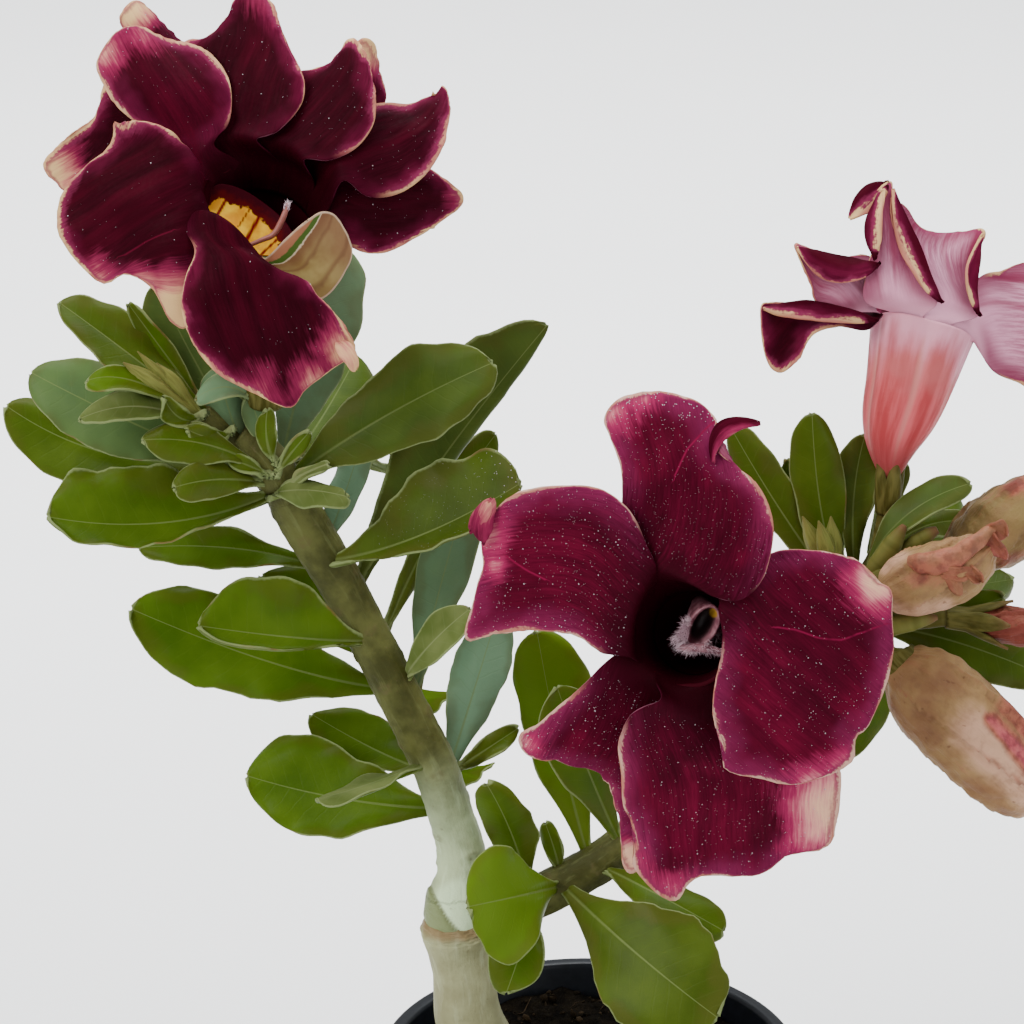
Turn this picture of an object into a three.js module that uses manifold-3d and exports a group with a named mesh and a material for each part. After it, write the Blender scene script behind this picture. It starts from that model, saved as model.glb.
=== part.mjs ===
// A potted desert rose: a young grafted adenium with three open flowers, in a round nursery pot.
// Millimetres, +Z up. The origin is the middle of the pot's underside; the viewer stands on the -Y side.
import * as THREE from "three";
import { mergeVertices } from "three/addons/utils/BufferGeometryUtils.js";
import Module from "manifold-3d";

const wasm = await Module();
wasm.setup();

// Driving dimensions
const GAP = 0.3; // left between pieces that touch
const POT_RIM_RADIUS = 40;
const POT_HEIGHT = 70;
const POT_BASE_RADIUS = 27;
const POT_WALL = 1.3;
const POT_LIP_DEPTH = 3;
const POT_LIP_OVERHANG = 1.6;
const DRAIN_RADIUS = 3.5;
const DRAIN_CIRCLE = 17;
const DRAIN_COUNT = 4;
const SOIL_LEVEL = 64.5;
const STOCK_RADIUS = 5.9;
const BRANCH_RADIUS = 4.1;
const LEAF_THICKNESS = 0.9;
const PETAL_THICKNESS = 0.8;
const POT_SIDES = 28;
const SEPALS = 5;
const SLIVER = 0.08; // joins drop detail finer than this

// The plant is placed as an eye in front of it sees it. A place is [across, up, front]: across and up are
// measured on the plane that faces the eye, and front is how far before the trunk's upright plane it lies.
const EYE_DISTANCE = 700;
const LOOKING_DOWN = THREE.MathUtils.degToRad(21);
const MIDDLE = new THREE.Vector3(-14.8, 0, 180.5);
const UP_ON_PLANE = new THREE.Vector3(0, Math.sin(LOOKING_DOWN), Math.cos(LOOKING_DOWN));
const TO_EYE = new THREE.Vector3(0, -Math.cos(LOOKING_DOWN), Math.sin(LOOKING_DOWN));
const EYE = MIDDLE.clone().addScaledVector(TO_EYE, EYE_DISTANCE);

function seen([across, up, front]) {
  const onPlane = MIDDLE.clone().addScaledVector(UP_ON_PLANE, up);
  onPlane.x += across;
  const sight = onPlane.sub(EYE);
  return EYE.clone().addScaledVector(sight, (-front - EYE.y) / sight.y);
}

// The real step between two seen places that lie a small way apart
function step(place, [across, up, front]) {
  const [a, u, f] = place;
  return seen([a + across, u + up, f + front]).sub(seen(place));
}

// Solids and meshes

function solidOf(points, triangles) {
  const vertProperties = new Float32Array(points.flatMap((p) => [p.x, p.y, p.z]));
  const make = (list) => {
    const triVerts = new Uint32Array(list);
    return new wasm.Manifold(new wasm.Mesh({ numProp: 3, vertProperties, triVerts }));
  };
  const solid = make(triangles.flat());
  return solid.volume() > 0 ? solid : make(triangles.flatMap(([a, b, c]) => [a, c, b]));
}

function solidOfGeometry(geometry) {
  geometry.deleteAttribute("normal");
  geometry.deleteAttribute("uv");
  const merged = mergeVertices(geometry, 1e-4);
  const places = merged.getAttribute("position");
  const pointAt = (_, i) => new THREE.Vector3().fromBufferAttribute(places, i);
  const points = Array.from({ length: places.count }, pointAt);
  const index = Array.from(merged.getIndex().array);
  const triangles = [];
  for (let i = 0; i < index.length; i += 3) {
    const [a, b, c] = index.slice(i, i + 3);
    if (a !== b && b !== c && c !== a) triangles.push([a, b, c]);
  }
  return solidOf(points, triangles);
}

// The one body of a union: a loose scrap is dropped, and a hollow that the union seals is filled
function oneBody(solid) {
  return solid.decompose().reduce((best, piece) => (piece.volume() > best.volume() ? piece : best));
}

const joined = (solids) => oneBody(wasm.Manifold.union(solids).simplify(SLIVER));
const clearOf = (solid, ...others) =>
  oneBody(others.reduce((left, other) => left.subtract(other), solid).simplify(SLIVER));

const plant = new THREE.Group();

function addNode(name, solid, material) {
  const { vertProperties, triVerts, numProp } = solid.getMesh();
  const position = new Float32Array((vertProperties.length / numProp) * 3);
  for (let i = 0; i < position.length / 3; i += 1) {
    position.set(vertProperties.subarray(i * numProp, i * numProp + 3), i * 3);
  }
  const geometry = new THREE.BufferGeometry();
  geometry.setAttribute("position", new THREE.BufferAttribute(position, 3));
  geometry.setIndex(new THREE.BufferAttribute(new Uint32Array(triVerts), 1));
  const mesh = new THREE.Mesh(geometry, material);
  mesh.name = name;
  plant.add(mesh);
}

// A thin blade round the surface place(s, t), with s along it and t across it, split alike on both faces
function slab(alongs, acrosses, place, thickness) {
  const middle = alongs.map((s) => acrosses.map((t) => place(s, t)));
  const [lastRow, lastColumn] = [alongs.length - 1, acrosses.length - 1];
  const points = [];
  for (const side of [1, -1]) {
    for (let i = 0; i <= lastRow; i += 1) {
      for (let j = 0; j <= lastColumn; j += 1) {
        const along = middle[Math.min(i + 1, lastRow)][j].clone().sub(middle[Math.max(i - 1, 0)][j]);
        const across = middle[i][Math.min(j + 1, lastColumn)].clone().sub(middle[i][Math.max(j - 1, 0)]);
        const normal = across.cross(along).normalize();
        points.push(middle[i][j].clone().addScaledVector(normal, (side * thickness) / 2));
      }
    }
  }
  const width = lastColumn + 1;
  const under = points.length / 2;
  const at = (i, j) => i * width + j;
  const triangles = [];
  for (let i = 0; i < lastRow; i += 1) {
    for (let j = 0; j < lastColumn; j += 1) {
      const [a, b, c, d] = [at(i, j), at(i, j + 1), at(i + 1, j + 1), at(i + 1, j)];
      triangles.push([a, b, c], [a, c, d]);
      triangles.push([under + a, under + c, under + b], [under + a, under + d, under + c]);
    }
  }
  const border = [];
  for (let j = 0; j < lastColumn; j += 1) border.push(at(0, j));
  for (let i = 0; i < lastRow; i += 1) border.push(at(i, lastColumn));
  for (let j = lastColumn; j > 0; j -= 1) border.push(at(lastRow, j));
  for (let i = lastRow; i > 0; i -= 1) border.push(at(i, 0));
  border.forEach((a, k) => {
    const b = border[(k + 1) % border.length];
    triangles.push([a, under + a, under + b], [a, under + b, b]);
  });
  return solidOf(points, triangles);
}

// Directions across a spine: the first lies as near +X as it can, or +Z where the spine runs along X
function crossAxes(tangent, chord) {
  const first = Math.abs(chord.x) > 0.75 ? new THREE.Vector3(0, 0, 1) : new THREE.Vector3(1, 0, 0);
  first.addScaledVector(tangent, -first.dot(tangent)).normalize();
  return [first, new THREE.Vector3().crossVectors(tangent, first)];
}

const smooth = (points) => new THREE.CatmullRomCurve3(points, false, "catmullrom", 0.5);

// A round body along a spine. Each station is [share of the spine, radius, rise of the lobes at its rim];
// shape(angle, share) swells the ring, and stations that turn back along the spine make a cup. A grown copy,
// which what meets the body is cut by, stands off it on all sides.
function loft(spine, stations, sides, { shape = () => 1, grown = 0 } = {}) {
  const chord = spine.getPoint(1).sub(spine.getPoint(0)).normalize();
  const points = [];
  const reach = (i) => (i === 0 ? -grown : i === stations.length - 1 ? grown : 0);
  stations.forEach(([share, radius, rise = 0], i) => {
    const tangent = spine.getTangent(share);
    const [first, second] = crossAxes(tangent, chord);
    for (let k = 0; k < sides; k += 1) {
      const angle = (2 * Math.PI * k) / sides;
      const r = radius * shape(angle, share) + grown;
      const point = spine.getPoint(share);
      point.addScaledVector(first, r * Math.cos(angle)).addScaledVector(second, r * Math.sin(angle));
      points.push(point.addScaledVector(tangent, rise * Math.max(0, Math.cos(SEPALS * angle)) + reach(i)));
    }
  });
  const cap = (share, by) => {
    points.push(spine.getPoint(share).addScaledVector(spine.getTangent(share), by));
    return points.length - 1;
  };
  const start = cap(stations[0][0], -grown);
  const end = cap(stations.at(-1)[0], grown);
  const triangles = [];
  const last = (stations.length - 1) * sides;
  for (let k = 0; k < sides; k += 1) {
    const next = (k + 1) % sides;
    for (let row = 0; row < last; row += sides) {
      const above = row + sides;
      triangles.push([row + k, row + next, above + next], [row + k, above + next, above + k]);
    }
    triangles.push([start, next, k], [end, last + k, last + next]);
  }
  return solidOf(points, triangles);
}

// A limb of even stations, through seen places with a radius each: [across, up, front, radius]
function limb(places, sides, grown = 0) {
  const spine = smooth(places.map((place) => seen(place)));
  const stations = places.map((place, i) => [i / (places.length - 1), place[3]]);
  return loft(spine, stations, sides, { grown });
}

// Materials
const paint = (color, roughness) => new THREE.MeshStandardMaterial({ color, roughness, metalness: 0 });
const POT_PLASTIC = paint(0x15171c, 0.45);
const SOIL = paint(0x2b1d14, 0.95);
const OLD_BARK = paint(0xb9ad8e, 0.8);
const YOUNG_BARK = paint(0x8f8f63, 0.7);
const LEAF = paint(0x3f6a1f, 0.45);
const CALYX = paint(0x77803c, 0.6);
const PETAL = paint(0x5a0c27, 0.55);
const PETAL_BACK = paint(0xd98f95, 0.6);
const BUD = paint(0xe2bfa3, 0.6);
const ANTHER = paint(0xb98a7c, 0.8);

// Pot: a tapered cup with a rolled lip and drain holes
const WALL_TOP_RADIUS = POT_RIM_RADIUS - POT_LIP_OVERHANG;
const INNER_RIM_RADIUS = WALL_TOP_RADIUS - POT_WALL;

function wallRadius(z) {
  return POT_BASE_RADIUS + ((WALL_TOP_RADIUS - POT_BASE_RADIUS) * z) / POT_HEIGHT;
}

function makePot() {
  const lip = POT_HEIGHT - POT_LIP_DEPTH;
  const profile = [
    [0, 0], [POT_BASE_RADIUS - 1, 0], [POT_BASE_RADIUS, 1], [wallRadius(lip), lip],
    [POT_RIM_RADIUS - 0.3, lip], [POT_RIM_RADIUS, lip + 0.8], [POT_RIM_RADIUS, POT_HEIGHT - 0.7],
    [POT_RIM_RADIUS - 0.8, POT_HEIGHT], [INNER_RIM_RADIUS + 0.6, POT_HEIGHT],
    [INNER_RIM_RADIUS, POT_HEIGHT - 0.8], [wallRadius(POT_WALL + 1) - POT_WALL, POT_WALL + 1],
    [POT_BASE_RADIUS - POT_WALL - 1, POT_WALL], [0, POT_WALL],
  ].map(([r, z]) => new THREE.Vector2(r, z));
  const cup = new THREE.LatheGeometry(profile, POT_SIDES).rotateX(Math.PI / 2);
  const holes = Array.from({ length: DRAIN_COUNT }, (_, k) => {
    const angle = (2 * Math.PI * k) / DRAIN_COUNT;
    const hole = new THREE.CylinderGeometry(DRAIN_RADIUS, DRAIN_RADIUS, 3 * POT_WALL, 10);
    hole.rotateX(Math.PI / 2);
    hole.translate(DRAIN_CIRCLE * Math.cos(angle), DRAIN_CIRCLE * Math.sin(angle), POT_WALL / 2);
    return solidOfGeometry(hole);
  });
  return clearOf(solidOfGeometry(cup), ...holes);
}

// Soil: fills the pot to just below the rim, with a lumpy top
const lump = (x, y) =>
  0.7 * Math.sin(0.31 * x + 1.1) * Math.cos(0.27 * y) + 0.5 * Math.sin(0.62 * y + 0.45 * x);

function makeSoil() {
  const inside = (z) => wallRadius(z) - POT_WALL - GAP;
  const floor = POT_WALL + GAP;
  const top = [1, 0.8, 0.6, 0.4, 0.2].map((share) => [share * inside(SOIL_LEVEL), SOIL_LEVEL]);
  const profile = [
    [0, floor], [POT_BASE_RADIUS - POT_WALL - 2, floor], [inside(4), 4], ...top, [0, SOIL_LEVEL],
  ].map(([r, z]) => new THREE.Vector2(r, z));
  const geometry = new THREE.LatheGeometry(profile, 18).rotateX(Math.PI / 2);
  const places = geometry.getAttribute("position");
  for (let i = 0; i < places.count; i += 1) {
    if (places.getZ(i) > SOIL_LEVEL - 1) places.setZ(i, SOIL_LEVEL + lump(places.getX(i), places.getY(i)));
  }
  return solidOfGeometry(geometry);
}

// Rootstock: a swollen base in the soil, a straight trunk and the callus ring where the graft was made
const STOCK_X = -23.5;
const STOCK_PROFILE = [
  [-17, 22, 4], [-17.5, 34, 8.5], [-18, 48, 12], [-19, 58, 12.4], [-20.2, 66, 10], [-22, 74, 7],
  [STOCK_X, 80, STOCK_RADIUS + 0.3], [-23.9, 87, STOCK_RADIUS], [-24.6, 92, STOCK_RADIUS + 0.1],
  [-24.9, 95.5, STOCK_RADIUS + 0.9], [-25, 97.6, STOCK_RADIUS + 0.9], [-25, 99.4, STOCK_RADIUS - 0.2],
];

function makeStock(grown = 0) {
  const spine = smooth(STOCK_PROFILE.map(([x, z]) => new THREE.Vector3(x, 0, z)));
  const last = STOCK_PROFILE.length - 1;
  const stations = STOCK_PROFILE.map(([, , r], i) => [i / last, r]);
  return loft(spine, stations, 14, { shape: (angle) => 1 + 0.04 * Math.cos(3 * angle + 1), grown });
}

// Scion: the pale knob on the graft and the two branches that leave it
const KNOB = [
  [-10.2, -75, 0, 5.2], [-10, -72.5, 0, 5.9], [-9.6, -69, 0, 5.8], [-9, -65, 0, 4.7], [-9.4, -60.5, 0, 4.5],
];
const LEFT_BRANCH = [
  [-9, -65, 0, 4.6], [-9.2, -60.5, 0, 4.5], [-11.2, -54, 0.5, 4.2], [-14.2, -45, 1, 4.2],
  [-18, -37.5, 1, BRANCH_RADIUS], [-22.8, -28, 0, BRANCH_RADIUS], [-26.8, -20.5, -1, BRANCH_RADIUS],
  [-31.6, -11.5, -1, 4.2], [-37.5, -2, 0, 4.4], [-41.5, 4.5, 1, 3.6],
];
const RIGHT_BRANCH = [
  [-8, -70.5, 0, 4.4], [0, -70.6, -1, 4.2], [6, -68.6, -2, BRANCH_RADIUS], [12, -65.3, -4, 4],
  [18, -61.6, -6, 4], [30, -52, -10, 3.9], [42, -40, -13, 3.8], [52, -29, -13, 3.8],
  [60, -20, -11, 3.6],
];

function makeScion(grown = 0) {
  return joined([limb(KNOB, 12, grown), limb(LEFT_BRANCH, 9, grown), limb(RIGHT_BRANCH, 9, grown)]);
}

const stockClear = makeStock(GAP);
const scionClear = makeScion(GAP);

// Leaves. leaf(root, bend, tip, right, left): the midrib runs from root to tip, drawn towards bend. Right
// and left are the steps from the midrib to the margins at the widest place, seen with the tip upwards.
const LEAF_ROWS = [0, 0.28, 0.56, 0.84, 1];
const LEAF_COLUMNS = [-1, -0.45, 0.45, 1];
const SMALL_ROWS = [0, 0.3, 0.6, 0.85, 1];
const SMALL_COLUMNS = [-1, 0, 1];
const WIDEST = 0.66;
const STALK_SHARE = 0.12;

function leafWidth(s) {
  if (s < WIDEST) return STALK_SHARE + (1 - STALK_SHARE) * Math.sin((Math.PI / 2) * (s / WIDEST)) ** 1.9;
  return Math.max(0.14, Math.sqrt(1 - ((s - WIDEST) / (1 - WIDEST)) ** 2.4));
}

function bladeOn([root, bend, tip, right, left], rows, columns, wave = 0) {
  const midrib = new THREE.QuadraticBezierCurve3(seen(root), seen(bend), seen(tip));
  const toRight = step(bend, right);
  const toLeft = step(bend, left);
  const half = toRight.clone().sub(toLeft).multiplyScalar(0.5);
  const lift = toRight.clone().add(toLeft).multiplyScalar(0.5);
  const face = half.clone().cross(midrib.getPoint(1).sub(midrib.getPoint(0))).normalize();
  const place = (s, t) => {
    const ripple = wave * t * t * Math.sin(9 * s + 2 * t);
    const point = midrib.getPoint(s).addScaledVector(half, t * leafWidth(s));
    return point.addScaledVector(lift, t * t * leafWidth(s)).addScaledVector(face, ripple);
  };
  return slab(rows, columns, place, LEAF_THICKNESS);
}

const leaf = (...shape) => bladeOn(shape, LEAF_ROWS, LEAF_COLUMNS, 0.5);
const smallLeaf = (...shape) => bladeOn(shape, SMALL_ROWS, SMALL_COLUMNS);

// The rosette at the top of the left branch: its green tip, and the leaves that crowd on it
const leftCrown = [
  limb([[-40.5, 3, 1, 3.6], [-43, 7.5, 2, 4.2], [-46, 11.5, 2, 3.4], [-49, 14, 2, 2]], 8),
  limb([[-44, 7, 1, 3], [-50, 12, 1, 2.8], [-56, 17.5, 1, 2.2]], 8),
  leaf([-52, 15, 0], [-68, 28, 3], [-81.5, 37.5, -4], [3.4, 4.8, -5], [-2.2, -2.8, 4]),
  leaf([-46, 7, 0], [-66, 14, 4], [-86.5, 25, -6], [3.4, 6.2, -5], [-3.4, -6.2, 3]),
  leaf([-46.8, 10.5, 0], [-71, 5, -9], [-91, 19, -13], [3, 6, -5], [-3, -6, 3]),
  leaf([-43, 3, 4], [-62, -5, 14], [-83.5, -1, 14], [0, 11.5, -7], [0, -4, 5]),
  leaf([-44, 7, 5], [-54, 14, 12], [-66.5, 12.8, 12], [0, 3.2, -4], [0, -3.4, 2]),
  leaf([-44, 5, 5], [-53, 7, 15], [-60.8, 4.3, 16], [0, 3.8, -3], [0, -3.8, 2]),
  smallLeaf([-44, 3, 4], [-38, 5, 11], [-29.5, 2.5, 13], [0, -3, 3], [0, 2, -3]),
  smallLeaf([-48, 11, 2], [-51, 17, 2], [-53, 26, -2], [4, 0.5, -2], [-4, -0.5, -1]),
  smallLeaf([-44, 9, 3], [-45, 15, 4], [-47.5, 21.5, 2], [2.2, 1, -1], [-2, -1, 0]),
  leaf([-42, 7, -1], [-38, 25, -9], [-31.5, 48, -15], [8, -1.5, -1], [-6, 1.5, -4]),
  leaf([-48.4, 12.6, 1], [-57, 26, -7], [-64, 41, -10], [5, 2, 0], [-5, -2, 0]),
  smallLeaf([-54, 15, 3], [-66, 20, 8], [-76, 23.5, 8], [0.8, 2.4, -2], [-0.8, -2.4, 2]),
  smallLeaf([-54, 14, 3], [-66, 15, 10], [-77.5, 17, 11], [0.3, 2.5, -2], [-0.3, -2.5, 2]),
  smallLeaf([-54, 17, -1], [-62, 28, -3], [-69, 37.5, -4], [1.6, 1, 0], [-1.6, -1, 0]),
  leaf([-41, 5, 3], [-26, 17, 8], [-3.5, 26.8, 8], [3.7, -6.5, 4], [-4, 7.5, -4]),
  smallLeaf([-42, 6, -2], [-34, 16, -20], [-28, 28, -40], [6, -2, -3], [-6, 2, -3]),
  smallLeaf([-47.2, 11.6, 1], [-56, 18, -22], [-62, 27, -43], [5, -3, -5], [-6, 3, -3]),
  smallLeaf([-47, 11, 0.5], [-51, 8, -22], [-55, 5, -48], [7, 0, -3], [-7, 0, -3]),
  smallLeaf([-41.5, 9, 3], [-32, 14, -22], [-20, 6, -42], [5, -2, -5], [-6, 2, 3]),
];

// The rosette at the top of the right branch
const rightCrown = [
  limb([[58.5, -21, -10, 3.4], [62, -17, -8, 4.6], [65, -12, -8, 3.4], [66.5, -7, -9, 2]], 8),
  leaf([60, -14, -9], [54.8, -4, -13], [54, 17.7, -14], [4.9, 0, -1], [-4.9, 0, -1]),
  leaf([62, -14, -10], [60, 2, -15], [63.5, 13.8, -18], [3.6, -1, 0], [-3.6, 1, 0]),
  leaf([60, -16, -9], [49, -2, -13], [39.5, 15, -17], [3.5, 3, -1], [-3, -2.5, 0]),
  smallLeaf([60, -14, -11], [52, 0, -17], [49.5, 9.5, -19], [2, 0.5, 0], [-2, -0.5, 0]),
  leaf([63, -12, -7], [68, 1, -6], [82.5, 5, -8], [1, -3, 3], [-1.2, 3.5, -3]),
  smallLeaf([64, -11, -11], [72, 0, -24], [83, -2, -29], [0.5, -2.6, 2], [-0.5, 2.6, -2]),
  smallLeaf([64, -11, -12], [66, 0, -19], [71, 8.5, -22], [2, -0.5, 0], [-2, 0.5, 0]),
  smallLeaf([63, -18, -7], [76, -20, -7], [88.5, -15.5, -8], [0.6, -2.8, 2], [-0.6, 2.8, -2]),
  leaf([62, -20, -10], [78, -21, -12], [99, -31, -14], [-1.5, -4.5, 3], [1.5, 4.5, -3]),
  leaf([64.3, -17.5, -10.2], [68, -30, -15], [60, -44, -18], [-4, 0.5, 0], [4, -0.5, 0]),
  smallLeaf([61, -16, -12], [55, -6, -32], [50, 2, -52], [6, -2, -3], [-6, 2, -3]),
  smallLeaf([63, -15, -12], [72, -6, -30], [80, 3, -48], [5, -3, -5], [-5, 3, -3]),
  smallLeaf([62.8, -16.5, -10.5], [60, -19, -34], [56, -24, -54], [6, 0, -2], [-6, 0, -2]),
  smallLeaf([63, -17, -12], [76, -14, -28], [90, -12, -42], [3, -4, -5], [-3, 4, 3]),
];

// Leaves that stand singly on the branches
const singleLeaves = {
  leaf_under_crown: leaf([-32, -11, -1], [-46, -5, -5], [-67, -6.5, -9], [0, 3.5, -3], [0, -3.5, 3]),
  leaf_front_folded: leaf([-26, -23.5, 2], [-40, -23, 14], [-56.5, -20.5, 14], [4, 11, -5], [0, -2.5, 3]),
  leaf_behind_folded: leaf([-23.5, -28, -3], [-30, -19, -12], [-45, -11.5, -16], [5, 5, -3], [-4, -4, 2]),
  leaf_left_broad: leaf([-21.5, -32, -1], [-40, -30, -3], [-68.5, -17.5, -9], [3, 8.5, -5], [-3, -7.5, 4]),
  leaf_left_low: leaf([-11.5, -53.5, -1], [-30, -53, -6], [-47.7, -47.5, -10], [1, 10, -5], [-0.5, -7.5, 5]),
  leaf_left_rising: leaf([-14, -47, -3], [-22, -45, -19], [-36, -36.5, -24], [3.5, 4, -3], [-3, -3.5, 2]),
  leaf_front_edge_on: leaf([-14.5, -44.5, 2], [-24, -49, 12], [-35, -52, 16], [0, 1.2, -6], [0, -1.6, 5]),
  leaf_stem_pale: smallLeaf([-20, -31, 1], [-16, -24, 6], [-7.5, -17.5, 6], [2.2, -2.5, 3], [-2.5, 2.5, -2]),
  leaf_right_wavy: leaf([-33, -9, 2], [-17, -6.5, 13], [1.5, 5, 14], [0.5, -3, 4], [-2, 11, -6]),
  leaf_right_tall: leaf([-29, -16, -3], [-17, 6, -13], [6.3, 33.7, -16], [1, -1, -3], [-8, 6, -3]),
  leaf_right_hidden: leaf([-24, -24, -3], [-14, 0, -28], [-3, 14, -32], [3.5, -3.5, 0], [-3, 3.5, 0]),
  leaf_blue_upper: leaf([-18, -35, -2], [-13, -12, -13], [-8, 3, -13], [5.5, 1, 0], [-5.5, -1, -2]),
  leaf_blue_crown: leaf([-34, -7, -2], [-30, 2, -7], [-26, 16, -10], [3.5, 0.5, 0], [-4, -0.5, -2]),
  leaf_blue_lower: leaf([-12.5, -50, -1], [-7, -33, -12], [-2.5, -18, -16], [4.6, -1, 0], [-5, 1, -2]),
  leaf_stem_olive: smallLeaf([-12, -47.5, 0], [-5, -43, -4], [1, -39, -8], [0.8, -2, 1], [-0.8, 2, -1]),
  leaf_fork_tall: leaf([14, -63.5, -5], [8, -42, -11], [4.5, -21.5, -13], [7.5, 1.5, -1], [-6.5, -1, 0]),
  leaf_fork_rimmed: leaf([19.5, -60, -5], [13, -46, 1], [8, -31.5, -2], [6, 2, -3], [-5, -3, 3]),
  leaf_fork_upright: leaf([3, -68.5, 0], [1, -58, 8], [-4.5, -49, 8], [5, 0, -2], [-4.5, -1, -1]),
  leaf_fork_bright: leaf([8, -67.5, 1], [2, -69, 18], [-8, -71, 21], [-1, 9.5, -3], [2, -10.5, 2]),
  leaf_fork_round: leaf([3, -71, 0], [3, -76, 14], [-1, -86.5, 16], [-5, 1, -1], [5, -1, 1]),
  leaf_fork_small: smallLeaf([9, -66.5, -3], [8, -61, -3], [6, -56, -5], [1.8, 0.4, 0], [-1.8, -0.4, 0]),
  leaf_low_matte: leaf([9.5, -67.5, 0], [22, -80, 22], [37, -91, 26], [-6.5, -9.5, 3], [6.5, 9, -5]),
  leaf_low_folded: leaf([15.5, -63.5, -4], [25, -68, 10], [38, -75.5, 13], [-2, -4, 4], [3, 3, -3]),
  leaf_back_left: leaf([-18, -37, -2.6], [-14, -34, -26], [-20, -32, -48], [6, 0, -3], [-6, 0, -3]),
  leaf_back_low: leaf([-12, -52, -2], [-10, -46, -22], [-8, -46, -42], [6, 0, -3], [-6, 0, -3]),
  leaf_back_right: leaf([32, -50, -11], [30, -38, -30], [26, -32, -48], [6, 1, -2], [-6, -1, -3]),
};

// Flowers. A flower's tube runs from its calyx to its mouth, and the petals spring from the mouth's rim.
const PETAL_ALONGS = [0, 0.22, 0.46, 0.74, 1];
const PETAL_ACROSSES = [0, 0.25, 0.5, 0.75, 1];
const TUBE_WALL = 1.2;
const SUNK = 1.6; // how far a petal's root reaches down inside the wall

// petal(from, to, edge, other, tip, swell): from and to are degrees round the mouth, edge and other are the
// places that its two margins pass, tip those along its end, and swell raises its middle.
function petalOn(flower, [from, to, edge, other, tip, swell = 1.5]) {
  const mouth = flower.tube.getPoint(1);
  const axis = flower.tube.getTangent(1);
  const chord = mouth.clone().sub(flower.tube.getPoint(0)).normalize();
  const [first, second] = crossAxes(axis, chord);
  const rim = (t) => {
    const angle = THREE.MathUtils.degToRad(from + (to - from) * t);
    const out = flower.mouth - TUBE_WALL / 2;
    const point = mouth.clone().addScaledVector(first, out * Math.cos(angle));
    return point.addScaledVector(second, out * Math.sin(angle)).addScaledVector(axis, -SUNK);
  };
  const [edgeEnd, otherEnd] = [seen(edge.at(-1)), seen(other.at(-1))];
  const edgeCurve = smooth([rim(0), ...edge.map(seen)]);
  const otherCurve = smooth([rim(1), ...other.map(seen)]);
  const tipCurve = smooth([edgeEnd, ...tip.map(seen), otherEnd]);
  const face = new THREE.Vector3();
  const place = (s, t) => {
    const point = edgeCurve.getPoint(s).lerp(otherCurve.getPoint(s), t);
    point.addScaledVector(rim(t).sub(rim(0).lerp(rim(1), t)), (1 - s) ** 4);
    point.addScaledVector(tipCurve.getPoint(t).sub(edgeEnd.clone().lerp(otherEnd, t)), s ** 3);
    return point.addScaledVector(face.copy(axis), swell * 4 * t * (1 - t) * Math.sin(Math.PI * s));
  };
  return slab(PETAL_ALONGS, PETAL_ACROSSES, place, PETAL_THICKNESS);
}

// A small curled corner of a petal, as a blade of its own
const curl = (...shape) => bladeOn(shape, [0, 0.5, 1], SMALL_COLUMNS);

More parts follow.
